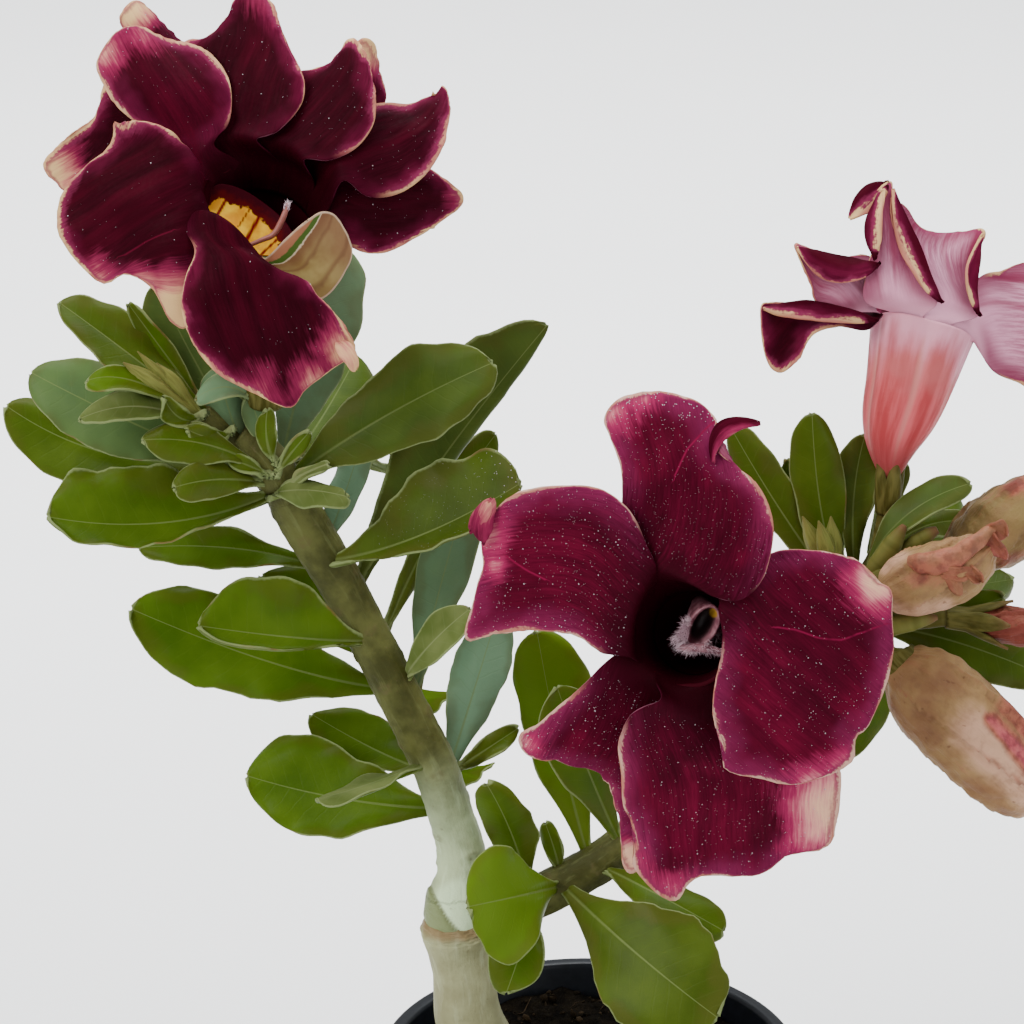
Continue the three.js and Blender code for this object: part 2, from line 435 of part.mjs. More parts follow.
const flower1 = {
  tube: smooth([[-44.5, 21, 0], [-45.3, 33, 0], [-46, 44, 2.5], [-44.8, 54.5, 11]].map(seen)),
  neck: 3.2,
  mouth: 11.2,
  petals: [
    [170, 112,
      [[-57, 61, 8], [-62, 66, 6.5], [-70, 72, 4], [-73.2, 76.5, 2]],
      [[-53.6, 66, 6], [-51.2, 69.3, 5], [-50.4, 73.7, 3], [-51.2, 78.3, 0], [-54, 82.2, -3]],
      [[-74.9, 81, 0], [-71.5, 86, -3], [-67.3, 87.2, -5], [-61.6, 84.9, -5.5], [-57.5, 84, -5]]],
    [140, 100,
      [[-54, 69, -3], [-60, 76, -7], [-66, 83, -10], [-70.5, 88, -12]],
      [[-49, 69, -3], [-53, 75, -8], [-57, 81, -12], [-62, 86, -14]],
      [[-68.3, 91.9, -14], [-65.5, 89.8, -15]]],
    [150, 72,
      [[-57.5, 66, 0], [-61, 74, -4], [-60, 83, -8], [-54.6, 85.4, -9], [-51.6, 88.8, -10]],
      [[-46, 66.9, 6.5], [-41.8, 68.4, 6], [-38.3, 72.4, 4.5], [-37.3, 77, 2], [-40, 83.5, -3],
       [-42.6, 89.7, -8]],
      [[-49.8, 92.6, -11], [-47, 94.5, -11.5], [-44, 92.6, -10]]],
    [108, 32,
      [[-46, 67, 3], [-43, 74, 0], [-38.5, 79.2, -2], [-34.2, 80.3, -3], [-31.3, 82.3, -4.5]],
      [[-37.5, 63.3, 9.5], [-33, 63.2, 10.5], [-28.3, 65.3, 10], [-25, 69.6, 8.5], [-24.5, 75, 6],
       [-25.6, 80.5, 1]],
      [[-29.7, 85, -5], [-28, 85, -4.5], [-26.6, 83, -1]]],
    [60, 22,
      [[-35, 69, -3], [-32, 74, -6], [-30, 80, -8], [-28, 83.5, -10]],
      [[-31, 65, -1], [-26, 68, -4], [-23, 73.5, -6], [-23.9, 80, -9]],
      [[-25.8, 84.9, -10]]],
    [68, -2,
      [[-36, 66, 6], [-30, 71.5, 3], [-23, 73.5, 1], [-17.6, 74.2, -1], [-14.6, 75.7, -2.5]],
      [[-30.5, 59.6, 11.5], [-26, 56.8, 12.5], [-20.5, 57.2, 12], [-15.2, 61.1, 9.5], [-12.2, 66.2, 5.5],
       [-11.2, 71.5, 1]],
      [[-12.6, 77.2, -3.5], [-11.4, 75.6, -2.5]]],
    [30, -40,
      [[-31, 61, 5], [-24, 62.4, 3], [-16.5, 62.4, 1], [-12.6, 59.8, 0.5]],
      [[-31.6, 51.5, 10], [-29.3, 48, 10.5], [-25.2, 46.5, 10], [-20, 47.9, 7.5], [-14, 51.3, 3.5]],
      [[-8.9, 56.8, 0], [-10.2, 54.2, 0.5]]],
    [145, 200,
      [[-58, 70, -1], [-66, 76, -4], [-72.5, 77.5, -5], [-74.4, 72, -5.5], [-79.8, 67.6, -6]],
      [[-57, 60, 1], [-66, 60, -1], [-74, 58, -3], [-79.5, 57.5, -6]],
      [[-84.5, 62.6, -7], [-81.8, 58.8, -7]]],
    [150, 222,
      [[-55.6, 60.5, 13], [-58.2, 66, 14], [-62.5, 69.3, 13.5], [-67, 70.2, 12], [-70, 69.3, 11.5]],
      [[-54.6, 54, 17], [-56, 47, 21], [-57.5, 40, 24.5], [-58.6, 33.5, 26]],
      [[-71.7, 70.2, 11], [-72.8, 66, 11.5], [-80, 59, 12.5], [-82.1, 53.5, 14], [-80, 47.2, 17],
       [-73.9, 41.2, 20], [-68.8, 42.5, 22], [-64.5, 40, 24], [-61.5, 34.5, 26]], 2],
    [196, 262,
      [[-57.8, 53.6, 19], [-58.7, 50.5, 22.5], [-57.2, 47, 25], [-59, 41.5, 28.5], [-59.4, 36, 31],
       [-57.2, 30, 31.5]],
      [[-43.8, 43.8, 23.5], [-38.2, 41.6, 27], [-33.8, 38, 28], [-30, 33, 28.5]],
      [[-53.5, 25.4, 31.5], [-47.5, 22, 31], [-40.3, 19, 30], [-36.7, 22.6, 29], [-31.5, 26.2, 28],
       [-28.2, 28.6, 28]], 2.5],
    [262, 312,
      [[-44.4, 45.6, 21], [-41, 49, 21.5], [-37.3, 52.3, 20.5]],
      [[-40, 41.5, 21.5], [-34.6, 38.4, 21], [-30.4, 42.6, 19], [-28.9, 47.5, 17]],
      [[-34.1, 54.1, 18.5], [-31.3, 52.8, 17]]],
  ],
  curls: [
    [[-31.5, 31, 28], [-28.6, 29, 31], [-28.2, 25.6, 31], [-1.6, -1, 1], [1, 0.6, -1]],
  ],
};

const flower2 = {
  tube: smooth([[57, -19, -5], [50, -20, 1], [41, -21, 9], [34, -21.5, 18], [31, -22, 27]].map(seen)),
  neck: 3,
  mouth: 9.6,
  petals: [
    [150, 58,
      [[22, -8, 28], [20.2, 1, 28], [19.7, 8, 27], [17.7, 13.5, 25], [16.6, 17, 23]],
      [[35.5, -14.8, 35], [40.5, -16, 36], [45, -12.2, 35.5], [47, -4, 34], [45.6, 2.6, 32],
       [41.5, 7.6, 30], [37.8, 10.4, 28.5]],
      [[19.3, 20.3, 22], [24.8, 21.7, 21.5], [30, 21.1, 22], [34.8, 19, 23.5], [36.6, 14.5, 27]]],
    [122, 214,
      [[26, -10, 31], [24.3, -6, 32], [21.4, 0, 32], [16.2, 4, 31], [9, 4.8, 29.5], [2, 3.9, 28]],
      [[20.6, -26, 29], [16.5, -25.2, 29.5], [11, -22.2, 29.5], [4, -21, 29], [-3, -22.3, 28]],
      [[-3, 0.5, 27], [-5.8, -4.5, 26.5], [-5.3, -10, 26], [-7, -16, 26], [-8.3, -22.8, 26]]],
    [188, 272,
      [[17, -27, 27], [11, -32.8, 27], [5, -37.8, 26], [1.7, -39.7, 25]],
      [[31, -36, 24], [31, -47, 22], [27, -57, 21], [23, -64, 20]],
      [[1.3, -41.8, 25], [3, -43.9, 24.5], [9.4, -45.2, 24], [16.2, -47.7, 23], [19, -53, 22],
       [19.5, -59, 21], [20.2, -64, 20]]],
    [232, 322,
      [[26.8, -33.6, 33], [22, -36, 33], [19.2, -41, 32.5], [19.6, -47, 31.5], [20, -52.5, 30.5],
       [22.4, -58.5, 29.5]],
      [[40, -37, 26], [50, -41, 24.5], [58, -45, 23.5], [59.2, -50, 23], [58.2, -56.5, 23]],
      [[22, -64, 28.5], [29, -69.8, 27], [33.5, -65.5, 26.5], [43.8, -65.3, 25.5], [49.5, -62, 24.5],
       [56.3, -60.5, 23.5]]],
    [80, 36,
      [[42, -12.5, 29], [47.5, -7.4, 28.5], [54.7, -6.9, 28], [61.5, -8.6, 27.5]],
      [[37.2, -17.5, 34], [37.9, -24, 36.5], [36.6, -31, 36.5], [36.2, -36, 36], [38.3, -42.5, 35]],
      [[64.6, -11.5, 27], [66.6, -14.8, 27], [68.4, -13.4, 26.5], [67.9, -19, 27], [68.5, -27, 28.5],
       [64.5, -37.3, 30], [61.8, -41, 31], [60.8, -45.3, 31.5], [52.9, -48.6, 32.5], [45, -48, 33.5],
       [38.4, -46.2, 34.5]], 2.5],
  ],
  curls: [
    [[35.2, 15.6, 26], [39.2, 19.2, 25], [44.9, 16.2, 21], [-0.6, -2.3, 1.5], [0.3, 1.3, -1]],
    [[-3.5, -2.8, 27], [-8.6, -2.6, 27], [-7, 3, 25], [2.8, 2.2, 1], [-1.6, -2.6, 1]],
  ],
};

const flower3 = {
  tube: smooth([[67.8, 4, -12], [68.6, 13, -14], [71.5, 23, -17], [74, 33, -22]].map(seen)),
  neck: 2.9,
  mouth: 9.4,
  petals: [
    [176, 214,
      [[62.5, 36, -22], [58, 36.6, -21], [51, 37.2, -19], [46.5, 37.8, -17]],
      [[64, 32.8, -18], [58.7, 33.4, -16], [54, 31.5, -14], [51.9, 27.8, -12.5]],
      [[44.7, 36.8, -16], [45, 31, -14], [46.2, 26.6, -12.5], [48, 25.1, -12], [50, 26, -12]]],
    [206, 168,
      [[60.5, 36, -17.5], [56.5, 36.4, -16.5], [54.5, 38, -16], [53.3, 41.5, -16]],
      [[66, 42, -18], [64.5, 46, -19.5], [60.5, 45.8, -20], [56, 46, -20]],
      [[51.5, 45.6, -17.5], [50.8, 48.2, -19], [52.8, 47.6, -20]]],
    [262, 226,
      [[76.5, 37.8, -13], [73.6, 42, -14.5], [70.6, 47.2, -17], [68.4, 54, -20]],
      [[63.5, 38, -15], [63.8, 43.5, -16], [65, 48, -18], [64.6, 53, -20.5]],
      [[68.6, 58.4, -23.5], [67.6, 59.4, -24], [65.4, 57.4, -22.5]]],
    [296, 252,
      [[84, 35.4, -18], [82.6, 39.5, -19], [82.2, 44, -21], [84.6, 48.6, -24]],
      [[74, 38, -17], [71.5, 44, -20], [69.6, 50, -23], [69.8, 55.6, -25.5]],
      [[84.6, 50.6, -25.5], [78, 50, -27], [73.5, 51.2, -27]]],
    [352, 288,
      [[86.6, 25.4, -20], [92, 22.8, -20], [97.5, 18.6, -19]],
      [[83.8, 42, -24], [88, 43.4, -27], [92, 44.8, -29]],
      [[101.5, 24, -20], [102.5, 33, -24], [98.5, 45.4, -30]]],
    [340, 400,
      [[86, 41, -28], [90, 44, -32], [97, 42, -35]],
      [[86, 33, -31], [93, 31.5, -33], [101, 34, -35]],
      [[103, 38, -36]]],
    [65, 135,
      [[78, 32, -35], [77, 35, -45], [73, 40, -53]],
      [[67, 33, -34], [64, 37, -44], [63, 42, -52]],
      [[67, 43, -56]]],
  ],
  curls: [
    [[67.8, 59.2, -23.5], [64, 57.6, -22], [60.8, 52.8, -20.5], [-1.4, 1.4, -1], [1.6, -2, 1]],
  ],
};

function makeTube(flower, grown = 0) {
  const { neck, mouth } = flower;
  const [belly, throat] = [0.78 * mouth, 0.9 * mouth];
  const outer = [[0, neck], [0.12, neck + 0.2], [0.3, neck + 1.2], [0.55, belly], [0.8, throat], [1, mouth]];
  if (grown > 0) return loft(flower.tube, outer, 12, { grown });
  const inner = [[1, mouth - TUBE_WALL], [0.8, throat - TUBE_WALL], [0.55, belly - TUBE_WALL], [0.4, 3]];
  return loft(flower.tube, [...outer, ...inner], 12);
}

function makeCorolla(flower) {
  const petals = flower.petals.map((petal) => petalOn(flower, petal));
  const curls = (flower.curls ?? []).map((shape) => curl(...shape));
  return joined([makeTube(flower), ...petals, ...curls]);
}

// The fuzzy cone of anthers that stands on the floor of a flower's throat
function makeAnthers(flower, reach) {
  const from = 0.4;
  const stations = [[0, 2.4], [0.4, 3], [0.7, 2], [1, 0.5]];
  const floor = flower.tube.getPoint(from).addScaledVector(flower.tube.getTangent(from), GAP);
  const spine = smooth([floor, flower.tube.getPoint((from + reach) / 2), flower.tube.getPoint(reach)]);
  return loft(spine, stations, 10, { shape: (angle) => 1 + 0.15 * Math.cos(SEPALS * angle) });
}

// A stalk with its calyx: a small cup with five pointed lobes, round the foot of a tube or bud
function makeCalyx({ stalk, tube, foot, lobes }, grown = 0) {
  const wall = 1;
  const places = stalk.map(seen);
  const cup = smooth([places.at(-1), tube.getPoint(0), tube.getPoint(0.14)]);
  const shell = loft(cup, [
    [0, 1.9], [0.3, foot + wall], [1, foot + wall - 0.1, lobes],
  ], 2 * SEPALS, { grown });
  const stem = smooth([...places, tube.getPoint(0.02)]);
  return joined([shell, loft(stem, [[0, 1.7], [0.5, 1.6], [1, 1.9]], 6, { grown })]);
}

// Buds: each is a spindle of furled petals along its spine, with twisted ridges
const furled = (angle, share) => 1 + 0.09 * Math.cos(SEPALS * angle + 4 * share);
const BUD_STATIONS = [[0, 0.32], [0.14, 0.45], [0.3, 0.8], [0.48, 1], [0.68, 0.92], [0.86, 0.6], [1, 0.2]];

function makeBud(bud, grown = 0) {
  const stations = BUD_STATIONS.map(([s, share]) => [s, share * bud.radius]);
  return loft(bud.spine, stations, 10, { shape: furled, grown });
}

const buds = {
  bud_twisted: { spine: [[66.5, -14.5, 2], [72, -12.5, 4], [80, -9.5, 5], [88.5, -4.5, 4]], radius: 6,
    stalk: [[62, -17, -6], [64.5, -15.5, -1.5]], lobes: 2.5 },
  bud_behind: { spine: [[76, -11, -13], [83, -6, -14], [92, 0, -15], [105, 9, -16]], radius: 7,
    stalk: [[64, -14, -9], [70, -13.5, -11], [75, -11.5, -13]], lobes: 3 },
  bud_hanging: { spine: [[69, -26.5, 0], [76, -32, 3], [84, -40, 5], [96, -54, 5]], radius: 8.6,
    stalk: [[62, -20, -7], [66, -24, -3], [68.5, -26, -0.5]], lobes: 3 },
  bud_slim: { spine: [[79, -19, -2], [86, -19.6, -1], [95, -21, -1], [106, -23.5, -2]], radius: 3.4,
    stalk: [[63, -17, -7], [71, -19.5, -3], [78, -19, -2]], lobes: 5 },
};
for (const bud of Object.values(buds)) bud.spine = smooth(bud.spine.map(seen));

// Clusters of young pointed buds, all still green
function makeCluster({ foot, tips, radius }, grown = 0) {
  const shoots = tips.map((tip) => loft(smooth([foot, tip].map(seen)), [
    [0, 0.6 * radius], [0.4, 0.85 * radius], [0.75, radius], [1, 0.3],
  ], 6, { grown }));
  return joined(shoots);
}

const clusters = {
  bud_cluster_left: { foot: [-56, 17, 3], radius: 2,
    tips: [[-70, 27, 6], [-67.5, 29.5, 4], [-63.5, 27, 3]] },
  bud_cluster_right: { foot: [58.5, -14.5, -7.5], radius: 1.6,
    tips: [[52.3, -0.8, -7], [55.2, -1.6, -5], [57.4, -0.8, -8]] },
};

// Assembly: what carries a piece is made first, and each later piece is cut clear of it by the gap
addNode("pot", makePot(), POT_PLASTIC);
addNode("soil", clearOf(makeSoil(), stockClear), SOIL);
addNode("rootstock", makeStock(), OLD_BARK);
addNode("scion", clearOf(makeScion(), stockClear), YOUNG_BARK);

const flowers = {
  flower_1: { flower: flower1, stalk: [[-43.5, 9, 0], [-44.5, 14, 0], [-44.5, 18.5, 0]], reach: 0.85,
    skin: PETAL },
  flower_2: { flower: flower2, stalk: [[61, -17, -8], [60, -18.5, -7.5]], reach: 0.9, skin: PETAL },
  flower_3: { flower: flower3, stalk: [[65, -12, -9], [66.8, -5, -11], [67.6, 1, -12]], reach: 0.85,
    skin: PETAL_BACK },
};
const taken = [scionClear];

function addCalyx(name, calyx, heldClear) {
  addNode(`${name}_calyx`, clearOf(makeCalyx(calyx), heldClear, ...taken), CALYX);
  taken.push(makeCalyx(calyx, GAP), heldClear);
}

for (const [name, { flower, stalk, reach, skin }] of Object.entries(flowers)) {
  addNode(`${name}_petals`, makeCorolla(flower), skin);
  addNode(`${name}_anthers`, makeAnthers(flower, reach), ANTHER);
  addCalyx(name, { stalk, tube: flower.tube, foot: flower.neck, lobes: 3 }, makeTube(flower, GAP));
}
for (const [name, bud] of Object.entries(buds)) {
  addNode(name, makeBud(bud), BUD);
  addCalyx(name, { ...bud, tube: bud.spine, foot: 0.42 * bud.radius }, makeBud(bud, GAP));
}
for (const [name, cluster] of Object.entries(clusters)) {
  addNode(name, clearOf(makeCluster(cluster), ...taken), CALYX);
  taken.push(makeCluster(cluster, GAP));
}
addNode("crown_left", clearOf(joined(leftCrown), ...taken), LEAF);
addNode("crown_right", clearOf(joined(rightCrown), ...taken), LEAF);
for (const [name, blade] of Object.entries(singleLeaves)) {
  addNode(name, clearOf(blade, scionClear), LEAF);
}

export default plant;
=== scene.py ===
import math

import bpy
import numpy as np
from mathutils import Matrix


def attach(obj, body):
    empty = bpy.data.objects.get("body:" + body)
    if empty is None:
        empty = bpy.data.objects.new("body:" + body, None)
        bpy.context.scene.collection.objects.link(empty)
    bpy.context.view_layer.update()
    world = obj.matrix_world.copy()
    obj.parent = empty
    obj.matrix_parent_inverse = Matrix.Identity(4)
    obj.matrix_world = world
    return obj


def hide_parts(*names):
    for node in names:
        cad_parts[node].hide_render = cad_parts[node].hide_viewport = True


# The looks of a potted desert rose: fine leaves, ruffled petals, bark, potting mix and dew round the CAD part.
# Points are worked out in millimetres, as in the part's source, and become metres where a mesh is made.
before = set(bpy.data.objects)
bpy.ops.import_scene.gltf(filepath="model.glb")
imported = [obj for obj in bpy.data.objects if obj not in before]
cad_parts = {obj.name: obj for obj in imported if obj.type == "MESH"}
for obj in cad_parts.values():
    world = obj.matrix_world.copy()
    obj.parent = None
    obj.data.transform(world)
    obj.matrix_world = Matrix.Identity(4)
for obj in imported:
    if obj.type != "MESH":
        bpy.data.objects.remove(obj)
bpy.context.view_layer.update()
MM = 0.001

# The plant is placed as an eye in front of it sees it. A place is [across, up, front]: across and up are
# measured on the plane that faces the eye, and front is how far before the trunk's upright plane it lies.
EYE_DISTANCE = 700.0
LOOKING_DOWN = math.radians(21)
MIDDLE = np.array([-14.8, 0.0, 180.5])
UP_ON_PLANE = np.array([0.0, math.sin(LOOKING_DOWN), math.cos(LOOKING_DOWN)])
TO_EYE = np.array([0.0, -math.cos(LOOKING_DOWN), math.sin(LOOKING_DOWN)])
EYE = MIDDLE + EYE_DISTANCE * TO_EYE
VIEW_WIDTH = 184.32
SENSOR_WIDTH = 36.0


def seen(places):
    places = np.asarray(places, float)
    across, up, front = (places[..., n : n + 1] for n in range(3))
    sight = MIDDLE + up * UP_ON_PLANE + across * np.array([1.0, 0.0, 0.0]) - EYE
    return EYE + sight * (-front - EYE[1]) / sight[..., 1:2]


def step(place, delta):
    return seen(np.add(place, delta)) - seen(place)


def in_view(points):
    """Where the viewer sees points, as across and up on the plane that faces the eye"""
    sight = points - EYE
    on_plane = EYE + sight * (EYE_DISTANCE / -(sight @ TO_EYE))[..., None] - MIDDLE
    return np.stack([on_plane[..., 0], on_plane @ UP_ON_PLANE], axis=-1)


# Numbers


def far_from_line(points, line):
    """Distance of points on the viewing plane from a line of straight stretches"""
    best = np.full(points.shape[:-1], 1e9)
    for a, b in zip(line, line[1:]):
        share = np.clip(((points - a) @ (b - a)) / ((b - a) @ (b - a)), 0, 1)
        best = np.minimum(best, np.linalg.norm(points - a - share[..., None] * (b - a), axis=-1))
    return best


def side_of_line(points, line):
    """On which side of the nearest stretch of a line each point lies, 1 or -1"""
    best, side = np.full(points.shape[:-1], 1e9), np.ones(points.shape[:-1])
    for a, b in zip(line, line[1:]):
        far = far_from_line(points, [a, b])
        off, way = points - a, b - a
        side = np.where(far < best, np.sign(way[0] * off[..., 1] - way[1] * off[..., 0]), side)
        best = np.minimum(best, far)
    return side


def unit(vectors):
    return vectors / (np.linalg.norm(vectors, axis=-1, keepdims=True) + 1e-12)


def hill(away, width):
    return np.exp(-((away / width) ** 2))


def ease(low, high, value):
    share = np.clip((value - low) / (high - low), 0, 1)
    return share * share * (3 - 2 * share)


def wobble(seed, points, length):
    """Smooth noise of about -1 to 1 in space, with waves about so long"""
    random = np.random.default_rng(seed)
    total = 0.0
    for k in range(6):
        way = unit(random.normal(size=3)) * (0.6 + 0.25 * k)
        total = total + np.sin(points @ way * (2 * math.pi / length) + random.uniform(0, 2 * math.pi))
    return total / 3.0


def smooth(points):
    """A Catmull-Rom curve through the points, as a function of the share of its length in points"""
    knots = np.asarray(points, float)
    knots = np.vstack([2 * knots[0] - knots[1], knots, 2 * knots[-1] - knots[-2]])
    spans = len(knots) - 3

    def at(share):
        place = np.clip(np.asarray(share, float), 0, 1) * spans
        k = np.minimum(place.astype(int), spans - 1)
        w = (place - k)[..., None]
        before, a, b, after = (knots[k + n] for n in range(4))
        start, end = (b - before) / 2, (after - a) / 2
        return a + start * w + (3 * (b - a) - 2 * start - end) * w**2 + (2 * (a - b) + start + end) * w**3

    return at


def heading(curve, share):
    share = np.asarray(share, float)
    return unit(curve(np.minimum(share + 1e-3, 1)) - curve(np.maximum(share - 1e-3, 0)))


def cross_axes(tangent, chord):
    first = np.array([0.0, 0.0, 1.0]) if abs(chord[0]) > 0.75 else np.array([1.0, 0.0, 0.0])
    first = unit(first - tangent * (tangent @ first)[..., None])
    return first, np.cross(tangent, first)


def crossing(directions):
    """Two directions square to each of the given ones and to each other"""
    helper = np.where(np.abs(directions[:, 2:]) < 0.8, [[0.0, 0.0, 1.0]], [[1.0, 0.0, 0.0]])
    first = unit(np.cross(directions, helper))
    return first, np.cross(directions, first)


def full_turn(count):
    return np.linspace(0, 2 * math.pi, count, endpoint=False)


def around(angles, first, second):
    """Ways out from an axis at some angles, between two directions across it"""
    return np.cos(angles)[..., None] * first + np.sin(angles)[..., None] * second


def profile_through(stations, samples=200):
    """A smooth radius for each share of a length, through stations of [share, radius]"""
    every = smooth([(share, radius, 0) for share, radius in stations])(np.linspace(0, 1, samples))
    return lambda share: np.interp(share, every[:, 0], every[:, 1])


# Shapes: points, faces by their number of corners, values at the points, and which paint the faces wear


def wearing(made, **values):
    """The shape with these values at its points"""
    count = len(made["points"])
    made["values"].update({name: np.array(np.broadcast_to(v, count), float) for name, v in values.items()})
    return made


def shape(points, faces, paint=0, **values):
    """Paint is one number, or one for each group of faces"""
    return wearing({"points": points, "faces": faces, "paint": paint, "values": {}}, **values)


def turned_over(made):
    return wearing(made, side=1 - made["values"]["side"])


def stirred(made, seed, size, length):
    """The shape with its points moved a little by smooth noise"""
    points = made["points"]
    made["points"] = points + size * np.stack([wobble(seed + n, points, length) for n in range(3)], axis=-1)
    return made


def baked(made):
    """The mesh that an object's modifiers make"""
    depsgraph = bpy.context.evaluated_depsgraph_get()
    return bpy.data.meshes.new_from_object(made.evaluated_get(depsgraph))


def rows_of(items, key, width, kind=float):
    values = np.empty(len(items) * width, kind)
    items.foreach_get(key, values)
    return values.reshape(-1, width)


def piece(name, shapes, paints, node=None):
    points = np.concatenate([s["points"] for s in shapes]) * MM
    faces, face_paints, start = [], [], 0
    for s in shapes:
        for f, paint in zip(s["faces"], np.broadcast_to(s["paint"], len(s["faces"]))):
            faces.append(f + start)
            face_paints.append(np.full(len(f), paint))
        start += len(s["points"])
    mesh = bpy.data.meshes.new(name)
    mesh.vertices.add(len(points))
    mesh.vertices.foreach_set("co", points.ravel())
    sizes = np.concatenate([np.full(len(f), f.shape[1]) for f in faces])
    corners = np.concatenate([f.ravel() for f in faces])
    mesh.loops.add(len(corners))
    mesh.loops.foreach_set("vertex_index", corners)
    mesh.polygons.add(len(sizes))
    mesh.polygons.foreach_set("loop_start", np.concatenate([[0], np.cumsum(sizes)[:-1]]))
    mesh.polygons.foreach_set("use_smooth", np.ones(len(sizes), bool))
    mesh.polygons.foreach_set("material_index", np.concatenate(face_paints))
    mesh.update(calc_edges=True)
    for key in sorted({key for s in shapes for key in s["values"]}):
        column = [s["values"].get(key, np.zeros(len(s["points"]))) for s in shapes]
        attribute = mesh.attributes.new(key, "FLOAT", "POINT")
        attribute.data.foreach_set("value", np.concatenate(column).astype(np.float32))
    for paint in paints:
        mesh.materials.append(paint)
    made = bpy.data.objects.new(name, mesh)
    bpy.context.scene.collection.objects.link(made)
    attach(made, "root")
    if node:
        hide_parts(node)
    return made


def quads(rows, columns, wrapped=False):
    """Faces of a grid of points with that many rows and columns of points"""
    i, j = np.meshgrid(np.arange(rows - 1), np.arange(columns if wrapped else columns - 1), indexing="ij")
    k = (j + 1) % columns
    corners = [i * columns + j, i * columns + k, (i + 1) * columns + k, (i + 1) * columns + j]
    return np.stack([c.ravel() for c in corners], axis=1)


def normals_of(grid):
    return unit(np.cross(np.gradient(grid, axis=1), np.gradient(grid, axis=0)))


def sheet(grid, thickness, paint=0, **values):
    """A thin closed body round a grid of points. Its front has side 1 and its back side 0."""
    rows, columns = grid.shape[:2]
    lift = normals_of(grid) * (np.broadcast_to(thickness, grid.shape[:2])[..., None] / 2)
    points = np.concatenate([(grid + lift).reshape(-1, 3), (grid - lift).reshape(-1, 3)])
    under = rows * columns
    top = quads(rows, columns)
    numbers = np.arange(under).reshape(rows, columns)
    border = np.concatenate([numbers[0, :-1], numbers[:-1, -1], numbers[-1, :0:-1], numbers[:0:-1, 0]])
    ahead = np.roll(border, -1)
    rim = np.stack([border, border + under, ahead + under, ahead], axis=1)
    values = {name: np.tile(np.broadcast_to(v, grid.shape[:2]).ravel(), 2) for name, v in values.items()}
    values.setdefault("side", np.repeat([1.0, 0.0], under))
    return shape(points, [top, top[:, ::-1] + under, rim], paint, **values)


def body(rings, paint=0, **values):
    """A closed body through rings of points, with a fan at each end"""
    rows, sides = rings.shape[:2]
    points = np.concatenate([rings.reshape(-1, 3), rings[0].mean(0)[None], rings[-1].mean(0)[None]])
    k = np.arange(sides)
    ahead = (k + 1) % sides
    last = (rows - 1) * sides
    start, end = rows * sides, rows * sides + 1
    fans = np.concatenate([
        np.stack([np.full(sides, start), ahead, k], axis=1),
        np.stack([np.full(sides, end), last + k, last + ahead], axis=1),
    ])
    spread = {}
    for name, v in values.items():
        v = np.broadcast_to(v, (rows, sides))
        spread[name] = np.concatenate([v.ravel(), [v[0].mean(), v[-1].mean()]])
    return shape(points, [quads(rows, sides, wrapped=True), fans], paint, **spread)


def limb(spine, radii, rows, sides, ripple=None, paint=0, **values):
    """A round body along a curve. ripple(shares, angles) multiplies its radius."""
    shares = np.linspace(0, 1, rows)
    angles = full_turn(sides)
    radius = np.interp(shares, np.linspace(0, 1, len(radii)), radii) if isinstance(radii, list) else radii(shares)
    grid_shares, grid_angles = np.meshgrid(shares, angles, indexing="ij")
    radius = radius[:, None] * (ripple(grid_shares, grid_angles) if ripple else np.ones_like(grid_shares))
    tangent = heading(spine, shares)
    first, second = cross_axes(tangent, unit(spine(1.0) - spine(0.0)))
    rings = spine(shares)[:, None] + radius[..., None] * around(angles[None], first[:, None], second[:, None])
    length = np.concatenate([[0], np.cumsum(np.linalg.norm(np.diff(spine(shares), axis=0), axis=1))])
    return body(rings, paint, share=grid_shares, angle=grid_angles, along=length[:, None] + 0 * grid_angles, **values)


def hairs(points, directions, lengths, width, paint=0, **values):
    """Thin spikes, each a closed needle of four faces"""
    directions = unit(directions)
    first, second = crossing(directions)
    corners = []
    for k in range(3):
        angle = 2 * math.pi * k / 3
        corners.append(points + width * (math.cos(angle) * first + math.sin(angle) * second))
    corners.append(points + directions * np.reshape(lengths, (-1, 1)))
    every = np.stack(corners, axis=1).reshape(-1, 3)
    starts = 4 * np.arange(len(points))[:, None]
    faces = [starts + np.array([f]) for f in ((0, 1, 3), (1, 2, 3), (2, 0, 3), (0, 2, 1))]
    return shape(every, [np.concatenate(faces)], paint, **values)


def scatter(seed, part, count, keep=None):
    """Random places on a shape's faces of four corners, with the normals there and which face each lies on"""
    random = np.random.default_rng(seed)
    faces = np.concatenate([f for f in part["faces"] if f.shape[1] == 4])
    if keep is not None:
        faces = faces[keep[faces].all(axis=1)]
    a, b, c, d = (part["points"][faces[:, k]] for k in range(4))
    normal = np.cross(c - a, d - b)
    area = np.linalg.norm(normal, axis=1)
    chosen = random.choice(len(faces), size=count, p=area / area.sum())
    u, v = random.uniform(size=(2, count, 1))
    places = (a[chosen] * (1 - u) + b[chosen] * u) * (1 - v) + (d[chosen] * (1 - u) + c[chosen] * u) * v
    return places, unit(normal[chosen]), faces[chosen]


# Paints


